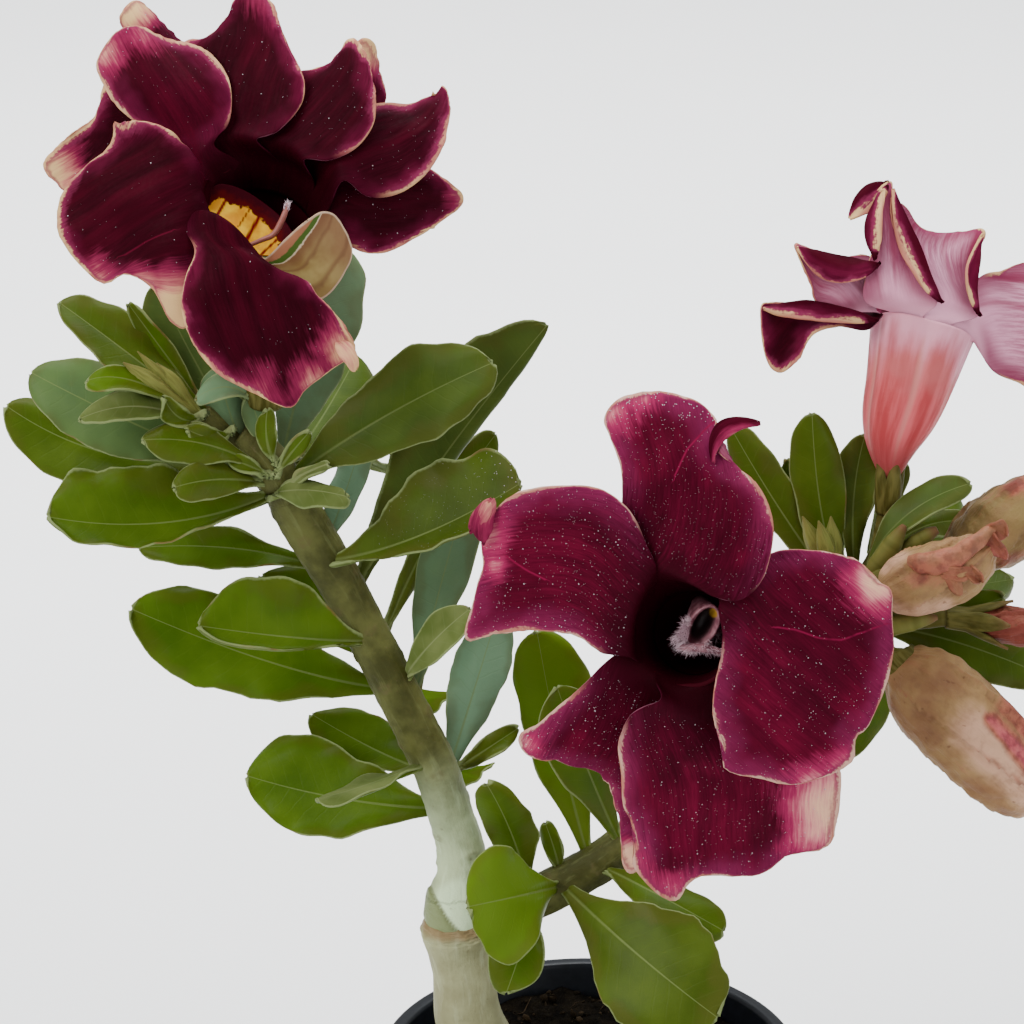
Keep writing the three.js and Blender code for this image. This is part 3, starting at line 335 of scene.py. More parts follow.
class Amount:
    """A number or colour that varies over a surface; arithmetic on it adds nodes to its paint"""

    def __init__(self, paint, socket):
        self.paint, self.socket = paint, socket

    def math(self, operation, *others):
        return self.paint.add("Math", dict(enumerate((self, *others))), operation=operation)

    def __add__(self, other):
        return self.math("ADD", other)

    def __sub__(self, other):
        return self.math("SUBTRACT", other)

    def __mul__(self, other):
        return self.math("MULTIPLY", other)

    def __truediv__(self, other):
        return self.math("DIVIDE", other)

    def __pow__(self, other):
        return self.math("POWER", other)

    def __abs__(self):
        return self.math("ABSOLUTE")

    def pingpong(self, scale):
        return self.math("PINGPONG", scale)

    def cosine(self):
        return self.math("COSINE")

    def sine(self):
        return self.math("SINE")

    def span(self, low, high, to_low=0.0, to_high=1.0):
        """Its way from low to high, eased, as a number from to_low to to_high"""
        inputs = {"Value": self, "From Min": low, "From Max": high, "To Min": to_low, "To Max": to_high}
        return self.paint.add("MapRange", inputs, interpolation_type="SMOOTHSTEP")

    def coat(self, share, colour):
        return self.paint.mix(share, self, colour)


class Paint:
    """A material being mixed. Paint["name"] is the value of that name at the points of a shape."""

    def __init__(self, name, roughness, **sockets):
        self.material = bpy.data.materials.new(name)
        self.material.use_nodes = True
        self.tree = self.material.node_tree
        self.shader = self.tree.nodes["Principled BSDF"]
        self.shader.inputs["Roughness"].default_value = roughness
        for socket, value in sockets.items():
            self.shader.inputs[socket.replace("_", " ")].default_value = value

    def __getitem__(self, name):
        return self.add("Attribute", {}, "Fac", attribute_name=name)

    def add(self, kind, inputs, output=0, **settings):
        node = self.tree.nodes.new("ShaderNode" + kind)
        for name, value in settings.items():
            setattr(node, name, value)
        for socket, value in inputs.items():
            self.feed(node.inputs[socket], value)
        return Amount(self, node.outputs[output])

    def feed(self, socket, value):
        if isinstance(value, Amount):
            self.tree.links.new(value.socket, socket)
        else:
            socket.default_value = value

    def mix(self, share, a, b):
        a, b = ((*c, 1.0) if isinstance(c, tuple) else c for c in (a, b))
        return self.add("Mix", {0: share, 6: a, 7: b}, 2, data_type="RGBA")

    def vector(self, x, y, z):
        return self.add("CombineXYZ", {0: x, 1: y, 2: z})

    def noise(self, where, scale, detail=2.0, roughness=0.5):
        return self.add("TexNoise", {"Vector": where, "Scale": scale, "Detail": detail, "Roughness": roughness})

    def spots(self, scale, detail=2.0, roughness=0.5):
        return self.noise(self.add("TexCoord", {}, "Object"), scale, detail, roughness)

    def finish(self, colour, roughness=None, height=None, relief=0.0):
        self.feed(self.shader.inputs["Base Color"], colour)
        if roughness is not None:
            self.feed(self.shader.inputs["Roughness"], roughness)
        if height is not None:
            bump = self.add("Bump", {"Height": height, "Distance": relief * MM, "Strength": 1.0})
            self.feed(self.shader.inputs["Normal"], bump)
        return self.material


def leaf_paint(name, shine):
    """Waxy green blades with a pale midrib, faint side veins and a thin pale rim; the backs are paler and matt. Some
    leaves carry a blue-grey painted reflection of the sky.
    """
    p = Paint(name, 0.42, Specular_IOR_Level=shine)
    side, tone, bloom = p["side"], p["tone"], p["bloom"]
    across, along, share = p["across"], p["along"], p["share"]
    rim, turn = p["rim"], p["turn"]
    off = abs(across)
    clouds = p.spots(120, 3)
    grain = p.spots(1400, 3)
    # side veins leave the midrib at a slant
    bend = along + off * -0.62
    waver = (p.spots(260) - 0.5) * 1.6
    phase = (bend + waver + 100).pingpong(1.45)
    vein = phase.span(0.26, 0.02) * abs(turn).span(0.95, 0.5)
    midrib_half = share.span(1, 0, 0.1, 0.62)
    midrib = (off / midrib_half).span(1.1, 0.6)
    green = p.mix(tone, (0.036, 0.045, 0.006), (0.033, 0.083, 0.0014))
    green = green.coat(clouds.span(0.25, 0.8), p.mix(tone, (0.056, 0.072, 0.011), (0.062, 0.124, 0.0026)))
    green = green.coat(tone.span(0.76, 1, 0, 0.8), (0.086, 0.15, 0.007))
    # painted reflection: a blue-grey coat that stands in for the sky's sheen on the glossy blades, strong on some
    # leaves
    green = green.coat(bloom ** 2 * 0.9, (0.17, 0.3, 0.19))
    tan = (rim + (clouds - 0.5) * 14).span(3, 0, 0, 0.3)
    green = green.coat(tan, (0.085, 0.07, 0.014))
    green = green.coat(vein * 0.04, (0.12, 0.17, 0.04))
    green = green.coat(midrib * 0.5, (0.15, 0.19, 0.06))
    back = p.mix(clouds.span(0.3, 0.7), (0.062, 0.088, 0.018), (0.115, 0.142, 0.045))
    back = back.coat(vein * 0.1, (0.15, 0.19, 0.08))
    back = back.coat(midrib * 0.6, (0.18, 0.21, 0.09))
    colour = p.mix(side, back, green)
    ragged = rim + (grain - 0.5) * 0.3
    edge = p.mix(clouds.span(0.56, 0.68), (0.23, 0.28, 0.12), (0.17, 0.09, 0.04))
    colour = colour.coat(ragged.span(0.34, 0.08, 0, 0.55), edge)
    rough = clouds * 0.2 + side.span(0, 1, 0.72, 0.26)
    height = grain * 0.35 + vein * -0.15
    return p.finish(colour, rough, height, 0.1)


# The near-black wine below is laid on as painted shade where the petals go into the tube.
THROAT_SHADE = (0.011, 0.0006, 0.0016)
WINE = (0.015, 0.0007, 0.0026)
BURGUNDY = (0.034, 0.0018, 0.0068)
CRIMSON = (0.06, 0.002, 0.0095)
MAGENTA = (0.105, 0.0055, 0.027)
CREAM = (0.62, 0.4, 0.18)
PEACH = (0.42, 0.16, 0.11)


def petal_paint():
    """Velvet from wine to burgundy, magenta near the margin, with a ragged cream rim; lilac backs. Painted shade
    darkens the petals near the mouth and inside the tube, and creases carry a painted highlight.
    """
    p = Paint("petal", 0.6, Specular_IOR_Level=0.015)
    side, share, tone = p["side"], p["share"], p["tone"]
    rim, cream, across, along = p["rim"], p["cream"], p["across"], p["along"]
    grain = p.vector(across, along * 0.09, tone * 60)
    streaks = p.noise(grain, 2.4, 4, 0.62)
    broad = p.noise(grain, 0.32, 2)
    clouds = p.spots(85, 2)
    fine = p.spots(1500, 2)
    jag = streaks - 0.5
    drift = p.spots(170, 2) - 0.5
    # the velvet
    body_red = p.mix(streaks.span(0.2, 0.85), WINE, BURGUNDY)
    body_red = body_red.coat(broad.span(0.4, 0.8, 0, 0.6), CRIMSON)
    bright = p["bright"]
    glow = p.mix(streaks.span(0.22, 0.85), (0.1, 0.0031, 0.018), (0.165, 0.0055, 0.03))
    body_red = body_red.coat(bright * broad.span(0.3, 0.7, 0.6, 1), glow)
    body_red = body_red.coat(clouds.span(0.62, 0.38, 0, 0.38), WINE)
    near = (rim + (jag * 4 + drift * 6)).span(bright * 3.4 + 3.4, 0.1)
    near = near * share.span(0.2, 0.55, 0.15, 1)
    face = p.mix(near * streaks.span(0.25, 0.7, 0.4, 0.85), body_red, p.mix(bright, MAGENTA, (0.22, 0.02, 0.085)))
    inner = share + (jag + drift) * 0.5
    face = face.coat(bright.span(0.4, 0.6) * inner.span(0.72, 0.16, 0, 0.95), (0.026, 0.0013, 0.005))
    # painted shade: towards the mouth and where it lines the tube, the face darkens to near black
    face = face.coat(share.span(0.24, 0.02, 0, 0.6), THROAT_SHADE)
    # patches where the dark fails and the cream shows through streaks
    patch = cream + (jag + drift) * 1.1
    face = face.coat(patch.span(-0.4, 0.4), p.mix(bright, (0.19, 0.014, 0.05), (0.34, 0.022, 0.09)))
    face = face.coat(patch.span(0.2, 0.9), p.mix(bright, (0.46, 0.15, 0.13), (0.62, 0.2, 0.24)))
    face = face.coat(patch.span(0.6, 1.3), p.mix(bright, CREAM, (0.74, 0.4, 0.3)))
    # painted highlight: a brighter line along each crease
    fold = abs(p["fold"]).span(0.32, 0)
    face = face.coat(fold * p["flush"], p.mix(bright, (0.08, 0.003, 0.014), (0.22, 0.007, 0.045)))
    # outside
    back = p.mix(streaks.span(0.35, 0.65), (0.34, 0.11, 0.18), (0.58, 0.27, 0.37))
    back = back.coat(share.span(0.75, 0.2, 0, 0.8), (0.7, 0.31, 0.44))
    back = back.coat(broad.span(0.48, 0.7, 0, 0.85), (0.2, 0.022, 0.055))
    back = back.coat(rim.span(5, 1, 0, 0.75), (0.17, 0.02, 0.052))
    back = back.coat(share.span(0.3, 0.1), (0.6, 0.27, 0.37))
    # painted shade: on flowers 1 and 2 the backs darken towards the mouth and go near black where they line the tube
    back = back.coat(p["hidden"] * share.span(0.32, 0.14), (0.06, 0.005, 0.018))
    back = back.coat(p["hidden"] * share.span(0.1, 0.04), THROAT_SHADE)
    back = back.coat(patch.span(0.2, 0.8), (0.5, 0.34, 0.2))
    colour = p.mix(side, back, face)
    # the rim, wide in places and nearly gone in others
    width = p.spots(95, 2).span(0.38, 0.64, 0.14, 0.75)
    teeth = (p.spots(1700, 2) - 0.5) * 1.3
    worn = rim / width + (jag * 1.8 + teeth)
    free = share.span(0.35, 0.6)
    colour = colour.coat(worn.span(3.2, 1, 0, 0.75) * free, (0.19, 0.022, 0.065))
    edge = p.mix(broad.span(0.4, 0.62), PEACH, p.mix(bright, CREAM, (0.56, 0.32, 0.3)))
    colour = colour.coat(worn.span(1.25, 0.6, 0, 0.9) * free, edge)
    height = streaks * 0.22 + fine * 0.3
    return p.finish(colour, fine.span(0.3, 0.7, 0.45, 0.62), height, 0.14)


def tube_paint():
    """The outside of a flower's tube: salmon pink with pale streaks"""
    p = Paint("tube", 0.55, Specular_IOR_Level=0.15)
    share, angle, along = p["share"], p["angle"], p["along"]
    round_x = angle.cosine() * 3
    round_y = angle.sine() * 3
    streaks = p.noise(p.vector(round_x, round_y, along * 0.05), 1.1, 4)
    fine = p.spots(1200, 2)
    clouds = p.spots(90, 3)
    pink = p.mix(streaks.span(0.36, 0.6), (0.36, 0.04, 0.045), (0.55, 0.1, 0.11))
    pink = pink.coat(clouds.span(0.55, 0.35, 0, 0.5), (0.45, 0.13, 0.13))
    pink = pink.coat((p["pleat"] + streaks * 0.3).span(0.62, 0.3, 0, 0.5), (0.54, 0.22, 0.19))
    high = share + (streaks + clouds - 1) * 0.5
    pink = pink.coat(high.span(0.64, 1, 0, 0.9), (0.64, 0.29, 0.38))
    pink = pink.coat(share.span(0.42, 0.16, 0, 0.8), (0.26, 0.042, 0.045))
    colour = p.mix(share.span(0.2, 0.04, 0, 0.8), pink, (0.15, 0.055, 0.018))
    return p.finish(colour, None, streaks + fine * 0.3, 0.25)


def throat_paint():
    """The inside of a tube: near black, with a ragged patch of yellow crossed by red rays"""
    p = Paint("throat", 0.6, Specular_IOR_Level=0.02)
    gold, ray = p["gold"], p["ray"]
    soft = p.spots(300, 3)
    ragged = p.spots(900, 3)
    reach = gold + (ragged - 0.5) * 2.4
    yellow = p.mix(soft.span(0.35, 0.7), (0.68, 0.28, 0.018), (0.92, 0.55, 0.03))
    yellow = yellow.coat(ray, (0.16, 0.003, 0.006))
    colour = p.mix(reach.span(-1.8, 0.2), (0.035, 0.0018, 0.0056), (0.08, 0.0035, 0.0045))
    colour = colour.coat(reach.span(0.2, 0.6), yellow)
    return p.finish(colour)


def anther_paint():
    """Rosy stamens round a hollow painted near black as painted shade, with a little yellow in it"""
    p = Paint("anther", 0.5)
    patches = p.spots(700, 3)
    colour = p.mix(patches.span(0.35, 0.65), (0.12, 0.03, 0.045), (0.24, 0.1, 0.12))
    # painted shade: the bottom of flower 2's stamen bowl is painted near black
    colour = colour.coat(p["hollow"], (0.01, 0.0008, 0.0014))
    colour = colour.coat(p["gold"].span(0, 0.4), (0.3, 0.16, 0.012))
    colour = colour.coat(p["tail"], (0.24, 0.065, 0.05))
    return p.finish(colour, None, patches, 0.1)


def bark_paint(name, pale, dark, streak, roughness=0.6):
    """Smooth bark with lengthwise streaks, pores and scars, and a painted shadow line in the groove at the scion's
    collar
    """
    p = Paint(name, roughness, Specular_IOR_Level=0.15)
    scar, young, along, angle = p["scar"], p["young"], p["along"], p["angle"]
    round_x = angle.cosine() * 4
    round_y = angle.sine() * 4
    lengthwise = p.noise(p.vector(round_x, round_y, along * 0.12), 0.9, 4, 0.6)
    clouds = p.spots(110, 4, 0.6)
    pores = p.spots(900, 3, 0.6)
    colour = p.mix(clouds.span(0.36, 0.66), dark, pale)
    colour = colour.coat(lengthwise.span(0.52, 0.72, 0, 0.7), streak)
    olive = p.mix(clouds.span(0.38, 0.64), (0.034, 0.036, 0.005), (0.085, 0.09, 0.022))
    olive = olive.coat(lengthwise.span(0.55, 0.75, 0, 0.5), (0.13, 0.145, 0.05))
    colour = colour.coat(young, olive)
    colour = colour.coat(p["knob"] * 0.8, (0.66, 0.84, 0.52))
    colour = colour.coat(p["collar"] * 0.85, (0.15, 0.18, 0.07))
    colour = colour.coat(pores.span(0.64, 0.76, 0, 0.35), (0.12, 0.09, 0.045))
    colour = colour.coat(p["callus"] * 0.7, (0.2, 0.11, 0.045))
    # leaf scars, and a painted shadow line in the groove along the scion's collar
    colour = colour.coat(scar * 0.5, (0.09, 0.065, 0.028))
    height = lengthwise * 0.8 + pores * 0.6
    return p.finish(colour, clouds.span(0.3, 0.7, roughness - 0.08, roughness + 0.1), height, 0.3)


def calyx_paint():
    """Downy olive sepals that turn brown at their tips"""
    p = Paint("calyx", 0.6, Specular_IOR_Level=0.12)
    share, tone = p["share"], p["tone"]
    grain = p.vector(p["across"], p["along"] * 0.15, tone * 30)
    streaks = p.noise(grain, 1.6, 3)
    colour = p.mix(streaks.span(0.35, 0.65), (0.05, 0.046, 0.006), (0.11, 0.1, 0.024))
    colour = colour.coat(p["pale"] * streaks.span(0.3, 0.6, 0.6, 1), (0.2, 0.22, 0.05))
    colour = colour.coat((share + streaks * 0.4).span(0.75, 1.15), (0.12, 0.062, 0.026))
    return p.finish(colour, None, streaks, 0.2)


def bud_paint():
    """Furled petals from cream and beige to pink"""
    p = Paint("bud", 0.55, Specular_IOR_Level=0.15)
    flush, green = p["flush"], p["green"]
    grain = p.vector(p["across"], p["along"] * 0.15, 0)
    streaks = p.noise(grain, 0.9, 4)
    clouds = p.spots(130, 3)
    uneven = streaks * 0.6 + (clouds * 1.8 - 1.2)
    soft = p.spots(420, 4, 0.6)
    colour = p.mix(clouds.span(0.28, 0.6), (0.19, 0.09, 0.042), (0.28, 0.17, 0.07))
    colour = colour.coat(green * clouds.span(0.3, 0.7, 0.5, 0.95), (0.17, 0.125, 0.04))
    colour = colour.coat((p["pale"] + uneven).span(0.1, 1.2), (0.48, 0.28, 0.18))
    reach = flush + uneven
    colour = colour.coat(reach.span(0.2, 1), p.mix(soft.span(0.35, 0.65), (0.17, 0.042, 0.03), (0.31, 0.1, 0.06)))
    colour = colour.coat(reach.span(0.9, 1.5), p.mix(soft.span(0.35, 0.65), (0.22, 0.03, 0.045), (0.4, 0.09, 0.09)))
    colour = colour.coat(soft.span(0.52, 0.3, 0, 0.3), (0.13, 0.06, 0.035))
    colour = colour.coat(p["tone"] * streaks.span(0.3, 0.6, 0.6, 0.95), (0.15, 0.028, 0.018))
    specks = p.spots(620, 2)
    colour = colour.coat(specks.span(0.68, 0.76, 0, 0.6), (0.1, 0.04, 0.02))
    return p.finish(colour, None, streaks + (clouds + soft), 0.45)


def beige_paint():
    """The unripe petal that stands at the mouth: peach inside its fold, a green band, then beige with brown arcs"""
    p = Paint("beige_petal", 0.55, Specular_IOR_Level=0.12)
    rim, turn = p["rim"], p["turn"]
    clouds = p.spots(200, 3)
    fine = p.spots(1300, 2)
    at = turn + (fine - 0.5) * 0.05
    arcs = (turn * 3.2 + clouds * 0.6).pingpong(0.5)
    colour = p.mix(clouds.span(0.35, 0.65), (0.19, 0.12, 0.036), (0.29, 0.22, 0.075))
    colour = colour.coat(p["share"].span(0.5, 0.95, 0, 0.8), (0.17, 0.08, 0.04))
    colour = colour.coat(arcs.span(0.16, 0, 0, 0.6), (0.11, 0.045, 0.02))
    colour = colour.coat(turn.span(0.6, 0.34, 0, 0.75), (0.12, 0.045, 0.02))
    colour = colour.coat(at.span(0.33, 0.3), (0.46, 0.36, 0.24))
    colour = colour.coat(at.span(0.3, 0.28), (0.04, 0.075, 0.008))
    colour = colour.coat(at.span(0.2, 0.17), (0.26, 0.1, 0.05))
    colour = colour.coat(rim.span(0.45, 0.2), (0.4, 0.27, 0.18))
    return p.finish(colour, None, clouds, 0.1)


def plain_paint(name, colour, other, scale, roughness, relief=0.1, **sockets):
    """Two near colours in soft patches, with a fine relief"""
    p = Paint(name, roughness, **sockets)
    patches = p.spots(scale, 4, 0.6)
    return p.finish(p.mix(patches.span(0.35, 0.65), colour, other), None, patches, relief)


def soil_paint():
    p = Paint("soil", 0.9, Specular_IOR_Level=0.03)
    patches = p.spots(260, 5, 0.65)
    grains = p.spots(1500, 3)
    tone = p["tone"]
    colour = p.mix(patches.span(0.35, 0.7), (0.0014, 0.001, 0.0006), (0.007, 0.005, 0.0028))
    colour = colour.coat(tone, (0.04, 0.026, 0.014))
    return p.finish(colour, grains.span(0.3, 0.7, 0.7, 0.95), patches + grains, 0.5)


LEAF = leaf_paint("leaf", shine=0.05)
LEAF_DULL = leaf_paint("leaf_dull", shine=0.0)
PETAL = petal_paint()
TUBE = tube_paint()
THROAT = throat_paint()
OLD_BARK = bark_paint("old_bark", (0.33, 0.335, 0.18), (0.24, 0.235, 0.12), (0.38, 0.4, 0.24))
YOUNG_BARK = bark_paint("young_bark", (0.45, 0.54, 0.31), (0.31, 0.37, 0.2), (0.56, 0.68, 0.42))
CALYX = calyx_paint()
BUD = bud_paint()
BEIGE = beige_paint()
WOOL = plain_paint("wool", (0.6, 0.46, 0.5), (0.42, 0.25, 0.3), scale=300.0, roughness=0.7)
ANTHER = anther_paint()
POT_PLASTIC = plain_paint("pot_plastic", (0.003, 0.0038, 0.0055), (0.005, 0.0062, 0.009), scale=400.0, roughness=0.34,
                          relief=0.05, Specular_IOR_Level=0.22)
SOIL = soil_paint()
# painted highlight: the water has a pale milky base so that each drop shows as a white speck
DEW_PAINTED_WHITE = Paint("dew_painted_highlight", 0.08, IOR=1.33, Transmission_Weight=0.6, Base_Color=(0.9, 0.84, 0.88, 1.0)).material
FLOOR = plain_paint("floor", (0.86, 0.86, 0.86), (0.88, 0.88, 0.88), scale=3.0, roughness=0.8, relief=0.0)

# Pot: the CAD cup turned finely
POT_RIM_RADIUS = 40.0
POT_HEIGHT = 70.0
POT_BASE_RADIUS = 27.0
POT_WALL = 1.3
POT_LIP_DEPTH = 3.0
POT_LIP_OVERHANG = 1.6
DRAIN_RADIUS = 3.5
DRAIN_CIRCLE = 17.0
DRAIN_COUNT = 4
SOIL_LEVEL = 64.5
WALL_TOP_RADIUS = POT_RIM_RADIUS - POT_LIP_OVERHANG
POT_ROUNDING = 0.9
POT_SIDES = 160


def wall_radius(z):
    return POT_BASE_RADIUS + (WALL_TOP_RADIUS - POT_BASE_RADIUS) * z / POT_HEIGHT


def rounded(profile, cut):
    """A profile with each inner corner replaced by a short arc"""
    made = [np.array(profile[0], float)]
    for before, corner, after in zip(profile, profile[1:], profile[2:]):
        before, corner, after = (np.array(p, float) for p in (before, corner, after))
        reach = min(cut, np.linalg.norm(before - corner) / 2.2, np.linalg.norm(after - corner) / 2.2)
        start, end = corner + unit(before - corner) * reach, corner + unit(after - corner) * reach
        made += [(1 - w) ** 2 * start + 2 * w * (1 - w) * corner + w**2 * end for w in (0, 0.25, 0.5, 0.75, 1)]
    return np.array(made + [np.array(profile[-1], float)])


def turned(profile, sides):
    angles = full_turn(sides)
    return np.stack([profile[:, :1] * np.cos(angles), profile[:, :1] * np.sin(angles),
                     np.repeat(profile[:, 1:], sides, axis=1)], axis=-1)


def pot_piece():
    lip = POT_HEIGHT - POT_LIP_DEPTH
    profile = rounded([
        (0.01, 0), (POT_BASE_RADIUS, 0), (wall_radius(lip), lip), (POT_RIM_RADIUS, lip),
        (POT_RIM_RADIUS, POT_HEIGHT), (WALL_TOP_RADIUS - POT_WALL, POT_HEIGHT),
        (wall_radius(POT_WALL) - POT_WALL, POT_WALL), (0.01, POT_WALL),
    ], POT_ROUNDING)
    made = piece("pot_moulded", [body(turned(profile, POT_SIDES)[::-1])], [POT_PLASTIC], node="pot")
    for k in range(DRAIN_COUNT):
        angle = 2 * math.pi * k / DRAIN_COUNT
        bpy.ops.mesh.primitive_cylinder_add(
            vertices=32, radius=DRAIN_RADIUS * MM, depth=6 * POT_WALL * MM,
            location=(DRAIN_CIRCLE * math.cos(angle) * MM, DRAIN_CIRCLE * math.sin(angle) * MM, 0))
        drill = bpy.context.object
        cut = made.modifiers.new("drain", "BOOLEAN")
        cut.object, cut.operation, cut.solver = drill, "DIFFERENCE", "EXACT"
        drilled = baked(made)
        made.modifiers.clear()
        made.data = drilled
        bpy.data.objects.remove(drill)


pot_piece()

# Soil: a lumpy bed with bark chips, grit and fibres on it
SOIL_GAP = 0.35
SOIL_SIDES = 140
SOIL_RINGS = 70
CHIP_COUNT = 620
FIBRE_COUNT = 90
CHIP_SIZES, CHIP_SIZE_ODDS = [0.35, 0.6, 1.0, 1.6], [0.4, 0.33, 0.2, 0.07]
CHIP_TONES, CHIP_TONE_ODDS = [0.05, 0.25, 0.6, 1.0], [0.45, 0.3, 0.17, 0.08]


def lump(x, y):
    return 0.7 * np.sin(0.31 * x + 1.1) * np.cos(0.27 * y) + 0.5 * np.sin(0.62 * y + 0.45 * x)


def soil_height(x, y):
    flat = np.stack([x, y, 0 * x], axis=-1)
    rough = 0.5 * wobble(31, flat, 5.0) + 0.25 * wobble(32, flat, 2.2)
    return SOIL_LEVEL + lump(x, y) + rough - 0.2


def soil_piece():
    random = np.random.default_rng(7)
    inside = wall_radius(SOIL_LEVEL) - POT_WALL - SOIL_GAP
    shares = np.linspace(1, 0.002, SOIL_RINGS)
    angles = full_turn(SOIL_SIDES)
    radius = shares[:, None] * inside
    x, y = radius * np.cos(angles), radius * np.sin(angles)
    top = np.stack([x, y, soil_height(x, y)], axis=-1)
    low = [(wall_radius(z) - POT_WALL - SOIL_GAP, z) for z in (POT_WALL + 0.4, 4.0, 34.0, SOIL_LEVEL - 1.5)]
    shapes = [body(np.concatenate([turned(np.array(low), SOIL_SIDES), top]), tone=0.0)]
    # chips and grit: small lumps of a few sides
    phi = (1 + 5**0.5) / 2
    corners = unit(np.array([(a, b * phi, 0) for a in (-1, 1) for b in (-1, 1)]
                            + [(0, a, b * phi) for a in (-1, 1) for b in (-1, 1)]
                            + [(b * phi, 0, a) for a in (-1, 1) for b in (-1, 1)], float))
    ball = np.array(list(icosahedron_faces(corners)))
    for _ in range(CHIP_COUNT):
        turn, out = random.uniform(0, 2 * math.pi), inside * 0.98 * math.sqrt(random.uniform())
        size = random.choice(CHIP_SIZES, p=CHIP_SIZE_ODDS) * random.uniform(0.7, 1.2)
        stretch = random.uniform(0.5, 1.3, 3) * [1.3, 1.0, 0.6]
        twist, _ = np.linalg.qr(random.normal(size=(3, 3)))
        points = (corners * random.uniform(0.75, 1.15, (12, 1))) * stretch * size @ twist
        place = np.array([out * math.cos(turn), out * math.sin(turn), 0])
        place[2] = soil_height(place[:1], place[1:2])[0] + 0.15 * size
        shapes.append(shape(points + place, [ball], tone=random.choice(CHIP_TONES, p=CHIP_TONE_ODDS)))
    for _ in range(FIBRE_COUNT):
        turn, out = random.uniform(0, 2 * math.pi), inside * 0.9 * math.sqrt(random.uniform())
        start = np.array([out * math.cos(turn), out * math.sin(turn)])
        way = random.uniform(0, 2 * math.pi)
        length = random.uniform(2, 6)
        bends = start + np.outer(np.linspace(-0.5, 0.5, 4) * length, [math.cos(way), math.sin(way)])
        bends = bends + random.normal(scale=0.35, size=bends.shape)
        far = np.linalg.norm(bends, axis=1, keepdims=True)
        bends = bends * np.minimum(1, (inside - 1) / far)
        z = soil_height(bends[:, 0], bends[:, 1]) + random.uniform(0.1, 0.7)
        spine = smooth(np.column_stack([bends, z]))
        shapes.append(limb(spine, [0.05, 0.12, 0.12, 0.05], 8, 5, tone=random.uniform(0.3, 1.0)))
    piece("soil_bed", shapes, [SOIL], node="soil")


def icosahedron_faces(corners):
    near = np.linalg.norm(corners[:, None] - corners[None], axis=-1) < 1.2
    for a in range(12):
        for b in range(a + 1, 12):
            for c in range(b + 1, 12):
                if near[a, b] and near[b, c] and near[a, c]:
                    out = np.cross(corners[b] - corners[a], corners[c] - corners[a]) @ corners[a] > 0
                    yield (a, b, c) if out else (a, c, b)


soil_piece()

# Rootstock: the swollen base, the trunk and the callus ring where the graft was made
STOCK_RADIUS = 5.9
STOCK_ROWS, STOCK_SIDES = 180, 80
STOCK_PROFILE = [
    (-17, 22, 4), (-17.5, 34, 8.5), (-18, 48, 12), (-19, 58, 12.4), (-20.2, 66, 10), (-22, 74, 7),
    (-23.5, 80, STOCK_RADIUS + 0.3), (-23.9, 87, STOCK_RADIUS), (-24.6, 92, STOCK_RADIUS + 0.1),
    (-24.9, 95.5, STOCK_RADIUS + 0.9), (-25, 97.6, STOCK_RADIUS + 0.9), (-25, 99.4, STOCK_RADIUS - 0.2),
]


def stock_piece():
    spine = smooth([(x, 0, z) for x, z, _ in STOCK_PROFILE])
    widths = smooth([(r, 0, 0) for _, _, r in STOCK_PROFILE])

    def ripple(share, angle):
        ring = np.stack([np.cos(angle), np.sin(angle), share * 12], axis=-1)
        callus = ease(0.8, 0.88, share)
        return (1 + 0.04 * np.cos(3 * angle + 1) + 0.012 * wobble(3, ring, 1.4)
                + callus * (0.03 * wobble(4, ring, 0.5) + 0.02 * np.cos(9 * angle + 40 * share)))

    made = limb(spine, lambda s: widths(s)[:, 0], STOCK_ROWS, STOCK_SIDES, ripple, scar=0.0, young=0.0)
    wearing(made, callus=ease(0.86, 0.94, made["values"]["share"]))
    piece("rootstock_bark", [made], [OLD_BARK], node="rootstock")


stock_piece()

# Scion: the pale knob on the graft and two branches, run together by a fine remesh
BRANCH_RADIUS = 4.1
KNOB = [
    (-10.2, -75, 0, 5.2), (-10, -72.5, 0, 5.9), (-9.6, -69, 0, 5.8), (-9, -65, 0, 4.7), (-9.4, -60.5, 0, 4.5),
]
LEFT_BRANCH = [
    (-9, -65, 0, 4.6), (-9.2, -60.5, 0, 4.5), (-11.2, -54, 0.5, 4.2), (-14.2, -45, 1, 4.2),
    (-18, -37.5, 1, BRANCH_RADIUS), (-22.8, -28, 0, BRANCH_RADIUS), (-26.8, -20.5, -1, BRANCH_RADIUS),
    (-31.6, -11.5, -1, 4.2), (-37.5, -2, 0, 4.4), (-41.5, 4.5, 1, 3.6),
]
RIGHT_BRANCH = [
    (-8, -70.5, 0, 4.4), (0, -70.6, -1, 4.2), (6, -68.6, -2, BRANCH_RADIUS), (12, -65.3, -4, 4),
    (18, -61.6, -6, 4), (30, -52, -10, 3.9), (42, -40, -13, 3.8), (52, -29, -13, 3.8),
    (60, -20, -11, 3.6),
]
SCION_VOXEL = 0.5
SPINE_SAMPLES = 160
# lengths along the right branch start at this number, to tell them from those along the left one
RIGHT_START = 300.0
KNOB_MIDDLE = (-8.7, -71.5)


def placed_limb(places, rows, sides, **values):
    """A limb through seen places with a radius each: [across, up, front, radius]"""
    places = np.array(places, float)
    return limb(smooth(seen(places[:, :3])), list(places[:, 3]), rows, sides, **values)


